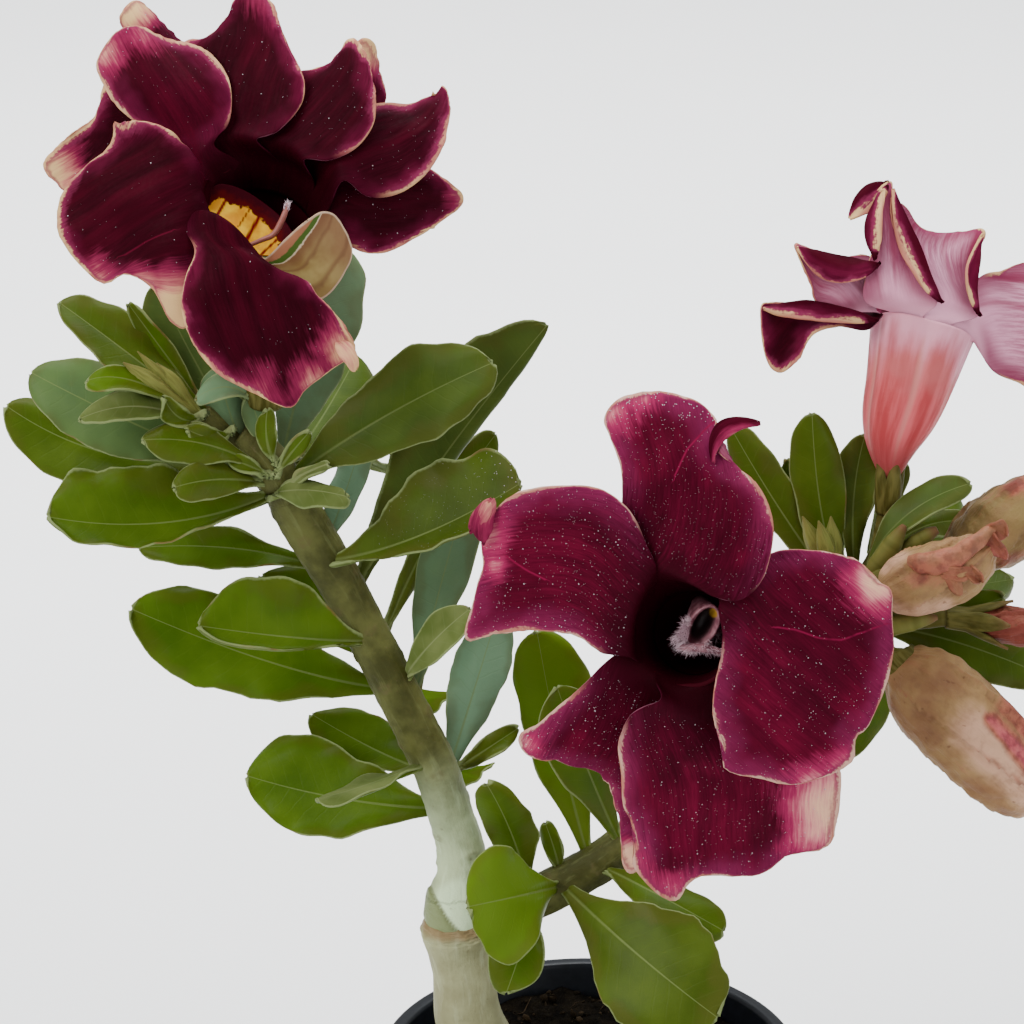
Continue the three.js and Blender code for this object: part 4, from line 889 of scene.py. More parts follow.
def on_branches(points):
    """How far along its branch, on which side of it and how young each point of the bark is"""
    best = np.full(len(points), 1e9)
    along, angle, young = (np.zeros(len(points)) for _ in range(3))
    for places, start, grown in ((LEFT_BRANCH, 0.0, (0.13, 0.4)), (RIGHT_BRANCH, RIGHT_START, (0.02, 0.14))):
        spine = smooth(seen([p[:3] for p in places]))
        shares = np.linspace(0, 1, SPINE_SAMPLES)
        line = spine(shares)
        first, second = cross_axes(heading(spine, shares), unit(line[-1] - line[0]))
        far = np.linalg.norm(points[:, None] - line[None], axis=-1)
        near = far.argmin(axis=1)
        off = points - line[near]
        turn = np.arctan2((off * second[near]).sum(-1), (off * first[near]).sum(-1))
        nearer = far.min(axis=1) < best
        length = np.linspace(0, np.linalg.norm(np.diff(line, axis=0), axis=1).sum(), SPINE_SAMPLES)
        along[nearer] = (length[near] + start)[nearer]
        angle[nearer] = turn[nearer]
        young[nearer] = ease(*grown, shares[near])[nearer]
        best = np.minimum(best, far.min(axis=1))
    return along, angle, young


def scarred(swell, along, angle):
    """The swelling with the scars of fallen leaves added to it, and how strongly they show"""
    scar = np.zeros(len(along))
    random = np.random.default_rng(11)
    for start, end, count in ((4.0, 96.0, 26), (RIGHT_START + 6, RIGHT_START + 100, 20)):
        for k in range(count):
            centre = start + (end - start) * (k + random.uniform(0.2, 0.8)) / count
            turn = (k * 2.4 + random.uniform(-0.3, 0.3)) % (2 * math.pi) - math.pi
            round_off = np.angle(np.exp(1j * (angle - turn))) * BRANCH_RADIUS
            out = np.hypot((along - centre) * 1.5, round_off)
            swell = swell + (0.22 * hill(out, 1.3) - 0.2 * hill(out, 0.55))
            scar = np.maximum(scar, hill(out - 0.9, 0.4) * 0.8)
            swell = swell + 0.1 * hill(along - centre, 0.8) * ease(4.5, 1.5, np.abs(round_off))
    return swell, scar


def scion_piece():
    limbs = [placed_limb(places, rows=60, sides=40) for places in (KNOB, LEFT_BRANCH, RIGHT_BRANCH)]
    rough = piece("scion_rough", limbs, [YOUNG_BARK])
    remesh = rough.modifiers.new("one skin", "REMESH")
    remesh.mode, remesh.voxel_size = "VOXEL", SCION_VOXEL * MM
    relax = rough.modifiers.new("relax", "SMOOTH")
    relax.factor, relax.iterations = 0.5, 8
    mesh = baked(rough)
    bpy.data.objects.remove(rough)
    points, normals = rows_of(mesh.vertices, "co", 3) / MM, rows_of(mesh.vertices, "normal", 3)
    faces = rows_of(mesh.loops, "vertex_index", 1, int).reshape(-1, 4)
    bpy.data.meshes.remove(mesh)
    along, angle, young = on_branches(points)
    swell, scar = scarred(0.05 * wobble(12, points, 7.0) + 0.04 * wobble(13, points, 3.0), along, angle)
    # the knob is smooth and pale, with a green collar round its foot; the groove along the collar's upper edge is
    # darkened as a painted shadow line
    view = in_view(points)
    knob = ease(6.5, 4.5, np.hypot(view[:, 0] - KNOB_MIDDLE[0], view[:, 1] - KNOB_MIDDLE[1]))
    edge = -77.6 + 0.12 * (view[:, 0] + 5.5) ** 2
    foot = ease(10.5, 9, np.hypot(view[:, 0] - KNOB_MIDDLE[0], view[:, 1] - KNOB_MIDDLE[1] + 1.5))
    collar = foot * ease(0.3, -0.3, view[:, 1] - edge)
    groove = foot * hill(view[:, 1] - edge, 0.5)
    moved = points + normals * (swell * (1 - 0.8 * knob) + 0.35 * collar - 0.25 * groove)[:, None]
    # painted shadow: the groove at the collar's edge takes the scars' dark colour
    scar = np.maximum(scar * (1 - knob), 0.6 * groove)
    young = young * (1 - knob * (1 - collar))
    made = shape(moved, [faces], scar=scar, young=young, along=along % RIGHT_START, angle=angle, collar=collar,
                 knob=knob * (1 - collar))
    piece("scion_bark", [made], [YOUNG_BARK], node="scion")


scion_piece()

# Leaves. leaf(root, bend, tip, right, left): the midrib runs from root to tip, drawn towards bend. Right
# and left are the steps from the midrib to the margins at the widest place, seen with the tip upwards.
WIDEST = 0.66
STALK_SHARE = 0.12
LEAF_THICKNESS = 0.62
HALF_TURNS = np.array([0, 0.025, 0.06, 0.1, 0.16, 0.25, 0.36, 0.48, 0.6, 0.71, 0.81, 0.89, 0.95, 0.985, 1])
LEAF_TURNS = np.concatenate([-HALF_TURNS[:0:-1], HALF_TURNS])


def leaf_width(share):
    low = STALK_SHARE + (1 - STALK_SHARE) * np.sin(math.pi / 2 * np.minimum(share / WIDEST, 1)) ** 1.9
    high = np.sqrt(np.maximum(1 - (np.maximum(share - WIDEST, 0) / (1 - WIDEST)) ** 2.4, 0))
    return np.where(share < WIDEST, low, high)


def leaf(root, bend, tip, right, left, tone=0.45, bloom=0.0, flipped=False, rows=33, wave=0.6, crimp=0.75,
         width_at=leaf_width, rib=0.75):
    shares = 1 - (1 - np.linspace(0, 0.9996, rows)) ** 1.35
    s, t = np.meshgrid(np.minimum(shares, 0.9994), LEAF_TURNS, indexing="ij")
    start, middle, end = seen(root), seen(bend), seen(tip)
    w = s[..., None]
    midrib = (1 - w) ** 2 * start + 2 * w * (1 - w) * middle + w**2 * end
    to_right, to_left = step(bend, right), step(bend, left)
    half, lift = (to_right - to_left) / 2, (to_right + to_left) / 2
    face = unit(np.cross(half, end - start))
    width = width_at(s)
    seed = int(abs(1000 * start[0] + 77 * end[2] + 13 * end[0])) % 100000
    size = np.linalg.norm(end - start)
    bays = wobble(seed + 1, np.stack([s * size, 30 * np.sign(t), 0 * s], axis=-1), 15.0)
    bays = bays + 0.6 * wobble(seed + 2, np.stack([s * size, 30 * np.sign(t), 0 * s], axis=-1), 7.0)
    width = width * (1 + 0.09 * bays * ease(0.15, 0.4, s) * ease(1.0, 0.88, s))
    grid = midrib + half * (t * width)[..., None] + lift * (t**2 * width)[..., None]
    ripple = wave * t**2 * np.sin(9 * s + 2 * t)
    ripple = ripple + crimp * np.abs(t) ** 3 * wobble(seed, grid, 11.0) * ease(0.1, 0.4, s)
    grid = grid + face * ripple[..., None]
    reach = np.linalg.norm(np.diff(midrib[:, 0], axis=0), axis=1)
    along = np.concatenate([[0], np.cumsum(reach)])[:, None] + 0 * t
    across = t * width * np.linalg.norm(half)
    rim = np.minimum((1 - np.abs(t)) * width * np.linalg.norm(half), along[-1, 0] - along)
    # relief: a channel along the midrib, a rib under it, and pillows between the side veins
    slant = np.cos(2 * math.pi * (along - 0.62 * np.abs(across)) / 2.9)
    pillow = -0.018 * slant * ease(0, 1.5, np.abs(across)) * ease(0, 1.5, rim)
    channel = -0.22 * hill(across, 0.55) * (1 - s)
    normal = normals_of(grid)
    grid = grid + normal * (pillow + channel)[..., None]
    rib = rib * hill(across, 0.8) * (1 - 0.8 * s)
    thickness = LEAF_THICKNESS * (0.35 + 0.65 * np.sqrt(np.clip(1 - np.abs(t) ** 5, 0, 1)))
    made = sheet(grid - normal * rib[..., None] / 2, thickness + rib, share=s, turn=t, along=along, across=across,
                 rim=rim, tone=tone, bloom=bloom)
    return turned_over(made) if flipped else made


LEAF_GROUPS = {
    "crown_left": [
        ([-52, 15, 0], [-68, 28, 3], [-81.5, 37.5, -4], [3.4, 4.8, -5], [-2.2, -2.8, 4], 0.4),
        ([-46, 7, 0], [-66, 14, 4], [-86.5, 25, -6], [3.4, 6.2, -5], [-3.4, -6.2, 3], 0.45, dict(bloom=0.42)),
        ([-46.8, 10.5, 0], [-71, 5, -9], [-91, 19, -13], [3, 6, -5], [-3, -6, 3], 0.45),
        ([-43, 3, 4], [-62, -5, 14], [-83.5, -1, 14], [0, 11.5, -7], [0, -4, 5], 0.62, dict(crimp=1.5)),
        ([-44, 7, 5], [-54, 14, 12], [-66.5, 12.8, 12], [0, 3.2, -4], [0, -3.4, 2], 0.5),
        ([-44, 5, 5], [-53, 7, 15], [-60.8, 4.3, 16], [0, 3.8, -3], [0, -3.8, 2], 0.35),
        ([-44, 3, 4], [-38, 5, 11], [-29.5, 2.5, 13], [0, -3, 3], [0, 2, -3], 0.6, dict(flipped=True)),
        ([-41, 4, 5], [-37.5, 6.5, 8], [-33, 8.5, 8.5], [0.5, 1.6, -1], [-0.4, -1.4, 1], 0.6),
        ([-42.5, 8, 6], [-45, 13, 8.5], [-44, 18.5, 7], [1.9, 0.3, -1], [-1.9, -0.3, -1], 0.75),
        ([-43, 6.5, 6], [-40, 10.5, 8], [-36.5, 14.5, 7], [1.2, -1.2, -0.5], [-1.2, 1.2, -0.5], 0.5),
        ([-43, 6, 6.3], [-47, 8.5, 9], [-51.5, 9.6, 9], [0.3, 1.6, -1], [-0.3, -1.6, 1], 0.8),
        ([-48, 11, 2], [-51, 17, 2], [-53, 26, -2], [4, 0.5, -2], [-4, -0.5, -1], 0.5, dict(bloom=0.7)),
        ([-44, 9, 3], [-45, 15, 4], [-47.5, 21.5, 2], [2.2, 1, -1], [-2, -1, 0], 0.5, dict(bloom=0.6)),
        ([-46, 19.5, 2], [-51, 25, 5], [-56.8, 20.3, 6], [0.6, 2.8, -2], [-0.6, -2.4, 2], 0.5, dict(bloom=0.75)),
        ([-55, 17.4, 5], [-60, 14.6, 9], [-62.8, 20.6, 9.5], [1.3, 1.5, -1], [-1.3, -1.6, 1], 0.7, dict(wave=0.9)),
        ([-50, 14.5, 3], [-53, 12, 9], [-58.5, 14.8, 10], [0.5, 1.9, -1], [-0.5, -1.9, 1], 0.6, dict(wave=0.9)),
        ([-42, 7, -1], [-38, 25, -9], [-31.5, 48, -15], [8, -1.5, -1], [-6, 1.5, -4], 0.3, dict(bloom=0.7)),
        ([-48.4, 12.6, 1], [-57, 26, -7], [-64, 41, -10], [5, 2, 0], [-5, -2, 0], 0.4, dict(bloom=0.3)),
        ([-55, 16.5, 3], [-69, 26.6, 8], [-76.3, 23.5, 8], [0.8, 2.4, -2], [-0.8, -2.4, 2], 0.85, dict(crimp=1.5)),
        ([-54, 14, 3], [-65.7, 22.4, 9], [-77.8, 16.6, 10.5], [0.3, 2.7, -2], [-0.3, -2.7, 2],
         0.6, dict(flipped=True, crimp=1.6)),
        ([-54, 17, -1], [-62, 28, -3], [-69, 37.5, -4], [1.6, 1, 0], [-1.6, -1, 0], 0.7),
        ([-41, 5, 3], [-26, 17, 8], [-3.5, 26.8, 8], [3.7, -6.5, 4], [-4, 7.5, -4], 0.38, dict(bloom=0.15)),
        ([-42, 6, -2], [-34, 16, -20], [-28, 28, -40], [6, -2, -3], [-6, 2, -3], 0.4),
        ([-47.2, 11.6, 1], [-56, 18, -22], [-62, 27, -43], [5, -3, -5], [-6, 3, -3], 0.4),
        ([-47, 11, 0.5], [-51, 8, -22], [-55, 5, -48], [7, 0, -3], [-7, 0, -3], 0.45),
        ([-41.5, 9, 3], [-32, 14, -22], [-20, 6, -42], [5, -2, -5], [-6, 2, 3], 0.45),
    ],
    "crown_right": [
        ([60, -14, -9], [54.8, -4, -13], [54, 17.7, -14], [4.9, 0, -1], [-4.9, 0, -1], 0.4),
        ([62, -14, -10], [60, 2, -15], [63.5, 13.8, -18], [3.6, -1, 0], [-3.6, 1, 0], 0.2),
        ([60, -16, -9], [49, -2, -13], [39.5, 15, -17], [3.5, 3, -1], [-3, -2.5, 0], 0.35),
        ([60, -14, -11], [52, 0, -17], [49.5, 9.5, -19], [2, 0.5, 0], [-2, -0.5, 0], 0.3),
        ([63, -12, -7], [68, 1, -6], [82.5, 5, -8], [1, -3, 3], [-1.2, 3.5, -3], 0.35, dict(bloom=0.25)),
        ([64, -11, -11], [72, 0, -24], [83, -2, -29], [0.5, -2.6, 2], [-0.5, 2.6, -2], 0.4),
        ([64, -11, -12], [66, 0, -19], [71, 8.5, -22], [2, -0.5, 0], [-2, 0.5, 0], 0.3),
        ([63, -18, -7], [76, -20, -7], [88.5, -15.5, -8], [0.6, -2.8, 2], [-0.6, 2.8, -2], 0.45),
        ([62, -20, -10], [78, -21, -12], [99, -31, -14], [-1.5, -4.5, 3], [1.5, 4.5, -3], 0.4),
        ([64.3, -17.5, -10.2], [68, -30, -15], [60, -44, -18], [-4, 0.5, 0], [4, -0.5, 0], 0.6),
        ([61, -16, -12], [55, -6, -32], [50, 2, -52], [6, -2, -3], [-6, 2, -3], 0.4),
        ([63, -15, -12], [72, -6, -30], [80, 3, -48], [5, -3, -5], [-5, 3, -3], 0.4),
        ([62.8, -16.5, -10.5], [60, -19, -34], [56, -24, -54], [6, 0, -2], [-6, 0, -2], 0.4),
        ([63, -17, -12], [76, -14, -28], [90, -12, -42], [3, -4, -5], [-3, 4, 3], 0.4),
    ],
}
CROWN_TIPS = {
    "crown_left": [
        [(-40.5, 3, 1, 3.6), (-43, 7.5, 2, 4.2), (-46, 11.5, 2, 3.4), (-49, 14, 2, 2)],
        [(-44, 7, 1, 3), (-50, 12, 1, 2.8), (-56, 17.5, 1, 2.2)],
    ],
    "crown_right": [[(58.5, -21, -10, 3.4), (62, -17, -8, 4.6), (65, -12, -8, 3.4), (66.5, -7, -9, 2)]],
}
YOUNG_BUDS = {
    "crown_right": [
        [(63.5, -12.5, -4, 1.2), (66, -9.5, -4, 2), (68.4, -6, -4, 1.9), (70, -3.4, -4, 1), (70.6, -2.4, -4, 0.5)],
        [(70, -7, -5, 1), (72.6, -5.4, -5, 1.5), (75, -4, -5, 1.4), (76.6, -3.2, -5, 0.7)],
        [(65, -21.6, 0, 1), (68, -20.6, 1.5, 1.9), (72, -19.6, 3, 1.9), (75, -19.2, 3, 1.1), (76.6, -19, 3, 0.4)],
        [(67, -25.2, -1, 0.8), (70, -25.6, 1, 1.2), (74, -26.4, 2, 0.9), (76.6, -27.3, 2, 0.3)],
    ],
}
SINGLE_LEAVES = {
    "leaf_under_crown": ([-32, -11, -1], [-46, -5, -5], [-67, -6.5, -9], [0, 3.5, -3], [0, -3.5, 3], 0.7),
    "leaf_front_folded": ([-26, -23.5, 2], [-40, -23, 14], [-56.5, -20.5, 14], [4, 11, -5], [0, -2.5, 3],
                          0.72, dict(crimp=1.5)),
    "leaf_behind_folded": ([-23.5, -28, -3], [-30, -19, -12], [-45, -11.5, -16], [5, 5, -3], [-4, -4, 2], 0.65),
    "leaf_left_broad": ([-21.5, -32, -1], [-40, -30, -3], [-68.5, -17.5, -9], [3, 8.5, -5], [-3, -7.5, 4],
                        0.75, dict(crimp=1.3)),
    "leaf_left_low": ([-11.5, -53.5, -1], [-30, -53, -6], [-47.7, -47.5, -10], [1, 10, -5], [-0.5, -7.5, 5],
                      0.7, dict(crimp=1.4)),
    "leaf_left_rising": ([-14, -47, -3], [-22, -45, -19], [-36, -36.5, -24], [3.5, 4, -3], [-3, -3.5, 2], 0.6),
    "leaf_front_edge_on": ([-14.5, -44.5, 2], [-24, -49, 12], [-35, -52, 16], [0, 1.2, -6], [0, -1.6, 5],
                           0.6, dict(flipped=True)),
    "leaf_stem_pale": ([-20, -31, 1], [-16, -24, 6], [-7.5, -17.5, 6], [2.2, -2.5, 3], [-2.5, 2.5, -2],
                       0.7, dict(bloom=0.2, flipped=True)),
    "leaf_right_wavy": ([-33, -9, 2], [-17, -6.5, 13], [1.5, 5, 14], [0.5, -3, 4], [-2, 11, -6],
                        0.3, dict(bloom=0.05)),
    "leaf_right_tall": ([-29, -16, -3], [-17, 6, -13], [6.3, 33.7, -16], [1, -1, -3], [-8, 6, -3],
                        0.3, dict(bloom=0.2)),
    "leaf_right_hidden": ([-24, -24, -3], [-14, 0, -28], [-3, 14, -32], [3.5, -3.5, 0], [-3, 3.5, 0], 0.4),
    "leaf_blue_upper": ([-18, -35, -2], [-13, -12, -13], [-8, 3, -13], [5.5, 1, 0], [-5.5, -1, -2],
                        0.4, dict(bloom=0.7)),
    "leaf_blue_crown": ([-34, -7, -2], [-30, 2, -7], [-26, 16, -10], [3.5, 0.5, 0], [-4, -0.5, -2],
                        0.4, dict(bloom=0.9)),
    "leaf_blue_lower": ([-12.5, -50, -1], [-7, -33, -12], [-2.5, -18, -16], [4.6, -1, 0], [-5, 1, -2],
                        0.4, dict(bloom=0.9)),
    "leaf_stem_olive": ([-12, -47.5, 0], [-5, -43, -4], [1, -39, -8], [0.8, -2, 1], [-0.8, 2, -1], 0.45),
    "leaf_fork_tall": ([14, -63.5, -5], [8, -42, -11], [4.5, -21.5, -13], [7.5, 1.5, -1], [-6.5, -1, 0], 0.95),
    "leaf_fork_rimmed": ([19.5, -60, -5], [13, -46, 1], [8, -31.5, -2], [6, 2, -3], [-5, -3, 3],
                         0.6, dict(bloom=0.1)),
    "leaf_fork_upright": ([3, -68.5, 0], [1, -58, 8], [-4.5, -49, 8], [5, 0, -2], [-4.5, -1, -1], 0.55),
    "leaf_fork_bright": ([8, -67.5, 1], [2, -69, 18], [-8, -71, 21], [-1, 9.5, -3], [2, -10.5, 2], 1.0),
    "leaf_fork_round": ([3, -71, 0], [3, -76, 14], [-1, -86.5, 16], [-5, 1, -1], [5, -1, 1], 0.65),
    "leaf_fork_small": ([9, -66.5, -3], [8, -61, -3], [6, -56, -5], [1.8, 0.4, 0], [-1.8, -0.4, 0], 0.6),
    "leaf_low_matte": ([9.5, -67.5, 0], [22, -80, 22], [37, -91, 26], [-6.5, -9.5, 3], [6.5, 9, -5],
                       0.3, dict(bloom=0.05)),
    "leaf_low_folded": ([15.5, -63.5, -4], [25, -68, 10], [38, -75.5, 13], [-2, -4, 4], [3, 3, -3], 0.5),
    "leaf_back_left": ([-18, -37, -2.6], [-14, -34, -26], [-20, -32, -48], [6, 0, -3], [-6, 0, -3], 0.5),
    "leaf_back_low": ([-12, -52, -2], [-10, -46, -22], [-8, -46, -42], [6, 0, -3], [-6, 0, -3], 0.5),
    "leaf_back_right": ([32, -50, -11], [30, -38, -30], [26, -32, -48], [6, 1, -2], [-6, -1, -3], 0.5),
}


def leaf_of(spec):
    """A leaf of the tables: the five places and steps of leaf(), its tone, and what else is its own"""
    return leaf(*spec[:6], **dict(*spec[6:]))


for name, spec in SINGLE_LEAVES.items():
    piece(name + "_blade", [leaf_of(spec)], [LEAF_DULL if "_back_" in name else LEAF], node=name)
for name, specs in LEAF_GROUPS.items():
    tips = [placed_limb(p, rows=30, sides=28, paint=1, scar=0.1, young=1.0) for p in CROWN_TIPS[name]]
    tips += [placed_limb(p, rows=40, sides=40, paint=2, pale=0.35) for p in YOUNG_BUDS.get(name, [])]
    piece(name + "_rosette", [leaf_of(spec) for spec in specs] + tips, [LEAF, YOUNG_BARK, CALYX], node=name)

# Flowers. A flower's tube runs from its calyx to its mouth, and the petals spring from the mouth's rim.
TUBE_WALL = 1.2
TUBE_ROWS, TUBE_SIDES = 60, 90
PETAL_ROWS = 48
PETAL_COLUMNS = 42
COLLAR_ROWS = 6
COLLAR_DEPTH = 6.0


def tube_profile(flower):
    """Radius of the tube's outside at a share of its length"""
    neck, mouth = flower["neck"], flower["mouth"]
    stations = [(0, neck), (0.12, neck + 0.2), (0.3, neck + 1.2), (0.55, 0.78 * mouth), (0.8, 0.9 * mouth),
                (1, mouth)]
    return profile_through(flower.get("stations", stations))


def petal_grid(flower, start, finish, edge, other, tip, swell, crest):
    """Rows of points from inside the mouth to the petal's end, with their shares along and across the blade"""
    tube = flower["tube"]
    mouth, axis = tube(1.0), heading(tube, 1.0)
    first, second = cross_axes(axis, unit(mouth - tube(0.0)))
    profile = tube_profile(flower)
    length = np.linalg.norm(tube(1.0) - tube(0.8)) / 0.2

    def rim_at(t, depth=-0.25, inset=0.3):
        angle = np.radians(start + (finish - start) * np.asarray(t, float))
        out = profile(1 - max(depth, 0) / length) - inset
        return mouth + out * around(angle, first, second) - axis * depth

    edge, other, tip = seen(edge), seen(other), seen(tip)
    outline = smooth(np.vstack([rim_at(0.0), edge, tip, other[::-1], rim_at(1.0)]))
    spans = len(edge) + len(tip) + len(other) + 1
    edge_part, other_part = len(edge) / spans, len(other) / spans
    s, t = np.meshgrid(np.linspace(0, 1, PETAL_ROWS), np.linspace(0, 1, PETAL_COLUMNS), indexing="ij")
    w = t[..., None]
    left, right = outline(s * edge_part), outline(1 - s * other_part)
    end = outline(edge_part + t * (1 - edge_part - other_part))
    grid = left * (1 - w) + right * w
    grid = grid + (rim_at(t) - (rim_at(0.0) * (1 - w) + rim_at(1.0) * w)) * ((1 - s) ** 4)[..., None]
    grid = grid + (end - (end[:, :1] * (1 - w) + end[:, -1:] * w)) * (s**3)[..., None]
    rise = swell * np.sin(math.pi * s) + crest * hill(s - 0.16, 0.12)
    grid = grid + axis * (4 * t * (1 - t) * rise)[..., None]
    # below the mouth the petal lines the tube's wall
    turns = t[0]
    lining = np.array([rim_at(turns, depth, 1.25) for depth in np.linspace(COLLAR_DEPTH, 0.8, COLLAR_ROWS)])
    grid = np.concatenate([lining, grid])
    for _ in range(3):
        bend = slice(COLLAR_ROWS - 3, COLLAR_ROWS + 5)
        near = (grid[COLLAR_ROWS - 4 : COLLAR_ROWS + 4] + grid[COLLAR_ROWS - 2 : COLLAR_ROWS + 6]) / 2
        grid[bend] = (grid[bend] + near) / 2
    s = np.concatenate([np.zeros((COLLAR_ROWS, PETAL_COLUMNS)), s])
    return grid, s, np.tile(turns, (len(s), 1))


def drawn_on(view, marks, creases):
    """Pale patches and creases at points on the view: patch strength, crease line for the painted highlight along
    each fold, distance from it and relief
    """
    count = view.shape[:-1]
    patch, line, fold, lift = np.full(count, -1.0), np.zeros(count), np.full(count, 9.0), np.zeros(count)
    for a, u, radius, strength in marks:
        patch = np.maximum(patch, strength * (1 - np.hypot(view[..., 0] - a, view[..., 1] - u) / radius))
    for crease in creases:
        crease = np.array(crease, float)
        far = far_from_line(view, crease)
        line = np.maximum(line, ease(1.6, 0.7, far))
        fold = np.where(far < np.abs(fold), far * side_of_line(view, crease), fold)
        lift = lift - 0.35 * hill(far, 0.8) + 0.2 * hill(far, 2.5)
    return patch, line, fold, lift


def petal(flower, start, finish, edge, other, tip, swell=1.5, crest=0.0, marks=(), creases=(),
          ruffle=1.0, seed=0, paint=0, bright=0.0):
    """Margins edge and other, the end tip; start and finish are degrees round the mouth. Marks are pale patches
    as the viewer sees them, [across, up, radius, strength]; creases are lines of seen points where the petal folds,
    with a painted highlight along the fold."""
    grid, s, t = petal_grid(flower, start, finish, edge, other, tip, swell, crest)
    # how far each point lies from the margin, and along and across the blade
    border = np.concatenate([grid[COLLAR_ROWS:, 0], grid[-1], grid[COLLAR_ROWS:, -1]])
    rim = np.min(np.linalg.norm(grid[:, :, None] - border[None, None], axis=-1), axis=-1)
    along = np.cumsum(np.linalg.norm(np.diff(grid, axis=0, prepend=grid[:1]), axis=-1), axis=0)
    across = np.cumsum(np.linalg.norm(np.diff(grid, axis=1, prepend=grid[:, :1]), axis=-1), axis=1)
    across = across - across[:, PETAL_COLUMNS // 2][:, None]
    wave = 0.55 * wobble(seed + 1, grid, 19.0) + 0.3 * wobble(seed + 2, grid, 9.0) * np.exp(-rim / 6)
    wave = wave + 0.28 * wobble(seed + 3, grid, 3.6) * np.exp(-rim / 1.2)
    wave = wave + 0.07 * wobble(seed + 5, np.stack([across * 2.2, along * 0.35, 0 * s], axis=-1), 4.0)
    patch, line, fold, lift = drawn_on(in_view(grid), marks, creases)
    normal = normals_of(grid)
    before_mouth = flower["tube"](1.0) + 25 * heading(flower["tube"], 1.0)
    inward = np.sum(normal * (before_mouth - grid), axis=-1)[COLLAR_ROWS + 4 :].mean() > 0
    grid = grid + normal * (ruffle * ease(0.12, 0.5, s) * wave + (lift if inward else -lift))[..., None]
    # hidden gives the petal backs of flowers 1 and 2 painted shade towards the mouth and inside the tube
    made = sheet(grid, 0.28 + 0.3 * ease(0, 3.0, rim), paint=paint, share=s, along=along, across=across, rim=rim,
                 cream=patch, flush=line, fold=fold, turn=t, tone=(seed * 0.37) % 1,
                 bright=flower.get("bright", bright), hidden=flower.get("hidden", 0.0))
    return made if inward else turned_over(made)


def tube_shape(flower):
    """The tube's outer skin, its inner skin and the floor of its throat"""
    profile, folds = tube_profile(flower), flower.get("folds", 0.05)
    shares = np.linspace(0, 1, TUBE_ROWS)
    outer = np.stack([shares, profile(shares)], axis=1)
    inner = outer[::-1] - [0, TUBE_WALL * 0.6]
    angles = full_turn(TUBE_SIDES)
    pleat = np.abs(np.sin(2.5 * angles + 0.6)) ** 0.7
    share, radius = np.concatenate([outer, inner[inner[:, 0] > 0.4]]).T
    tangent = heading(flower["tube"], share)
    first, second = cross_axes(tangent, unit(flower["tube"](1.0) - flower["tube"](0.0)))
    out = radius[:, None] * (1 + folds * ease(0.05, 0.5, share)[:, None] * (pleat - 0.6)[None])
    rings = flower["tube"](share)[:, None] + out[..., None] * around(angles[None], first[:, None], second[:, None])
    shares = np.repeat(share[:, None], TUBE_SIDES, axis=1)
    made = body(rings, share=shares, angle=angles[None, :] + 0 * shares, along=shares * 35.0,
                pleat=pleat[None, :] + 0 * shares, gold=-4.0)
    faces, fans = made["faces"]
    outside = faces[:, 0] < (TUBE_ROWS - 1) * TUBE_SIDES
    groups = [faces[outside], fans[:TUBE_SIDES], faces[~outside], fans[TUBE_SIDES:]]
    return shape(made["points"], groups, [1, 1, 2, 2], **made["values"])


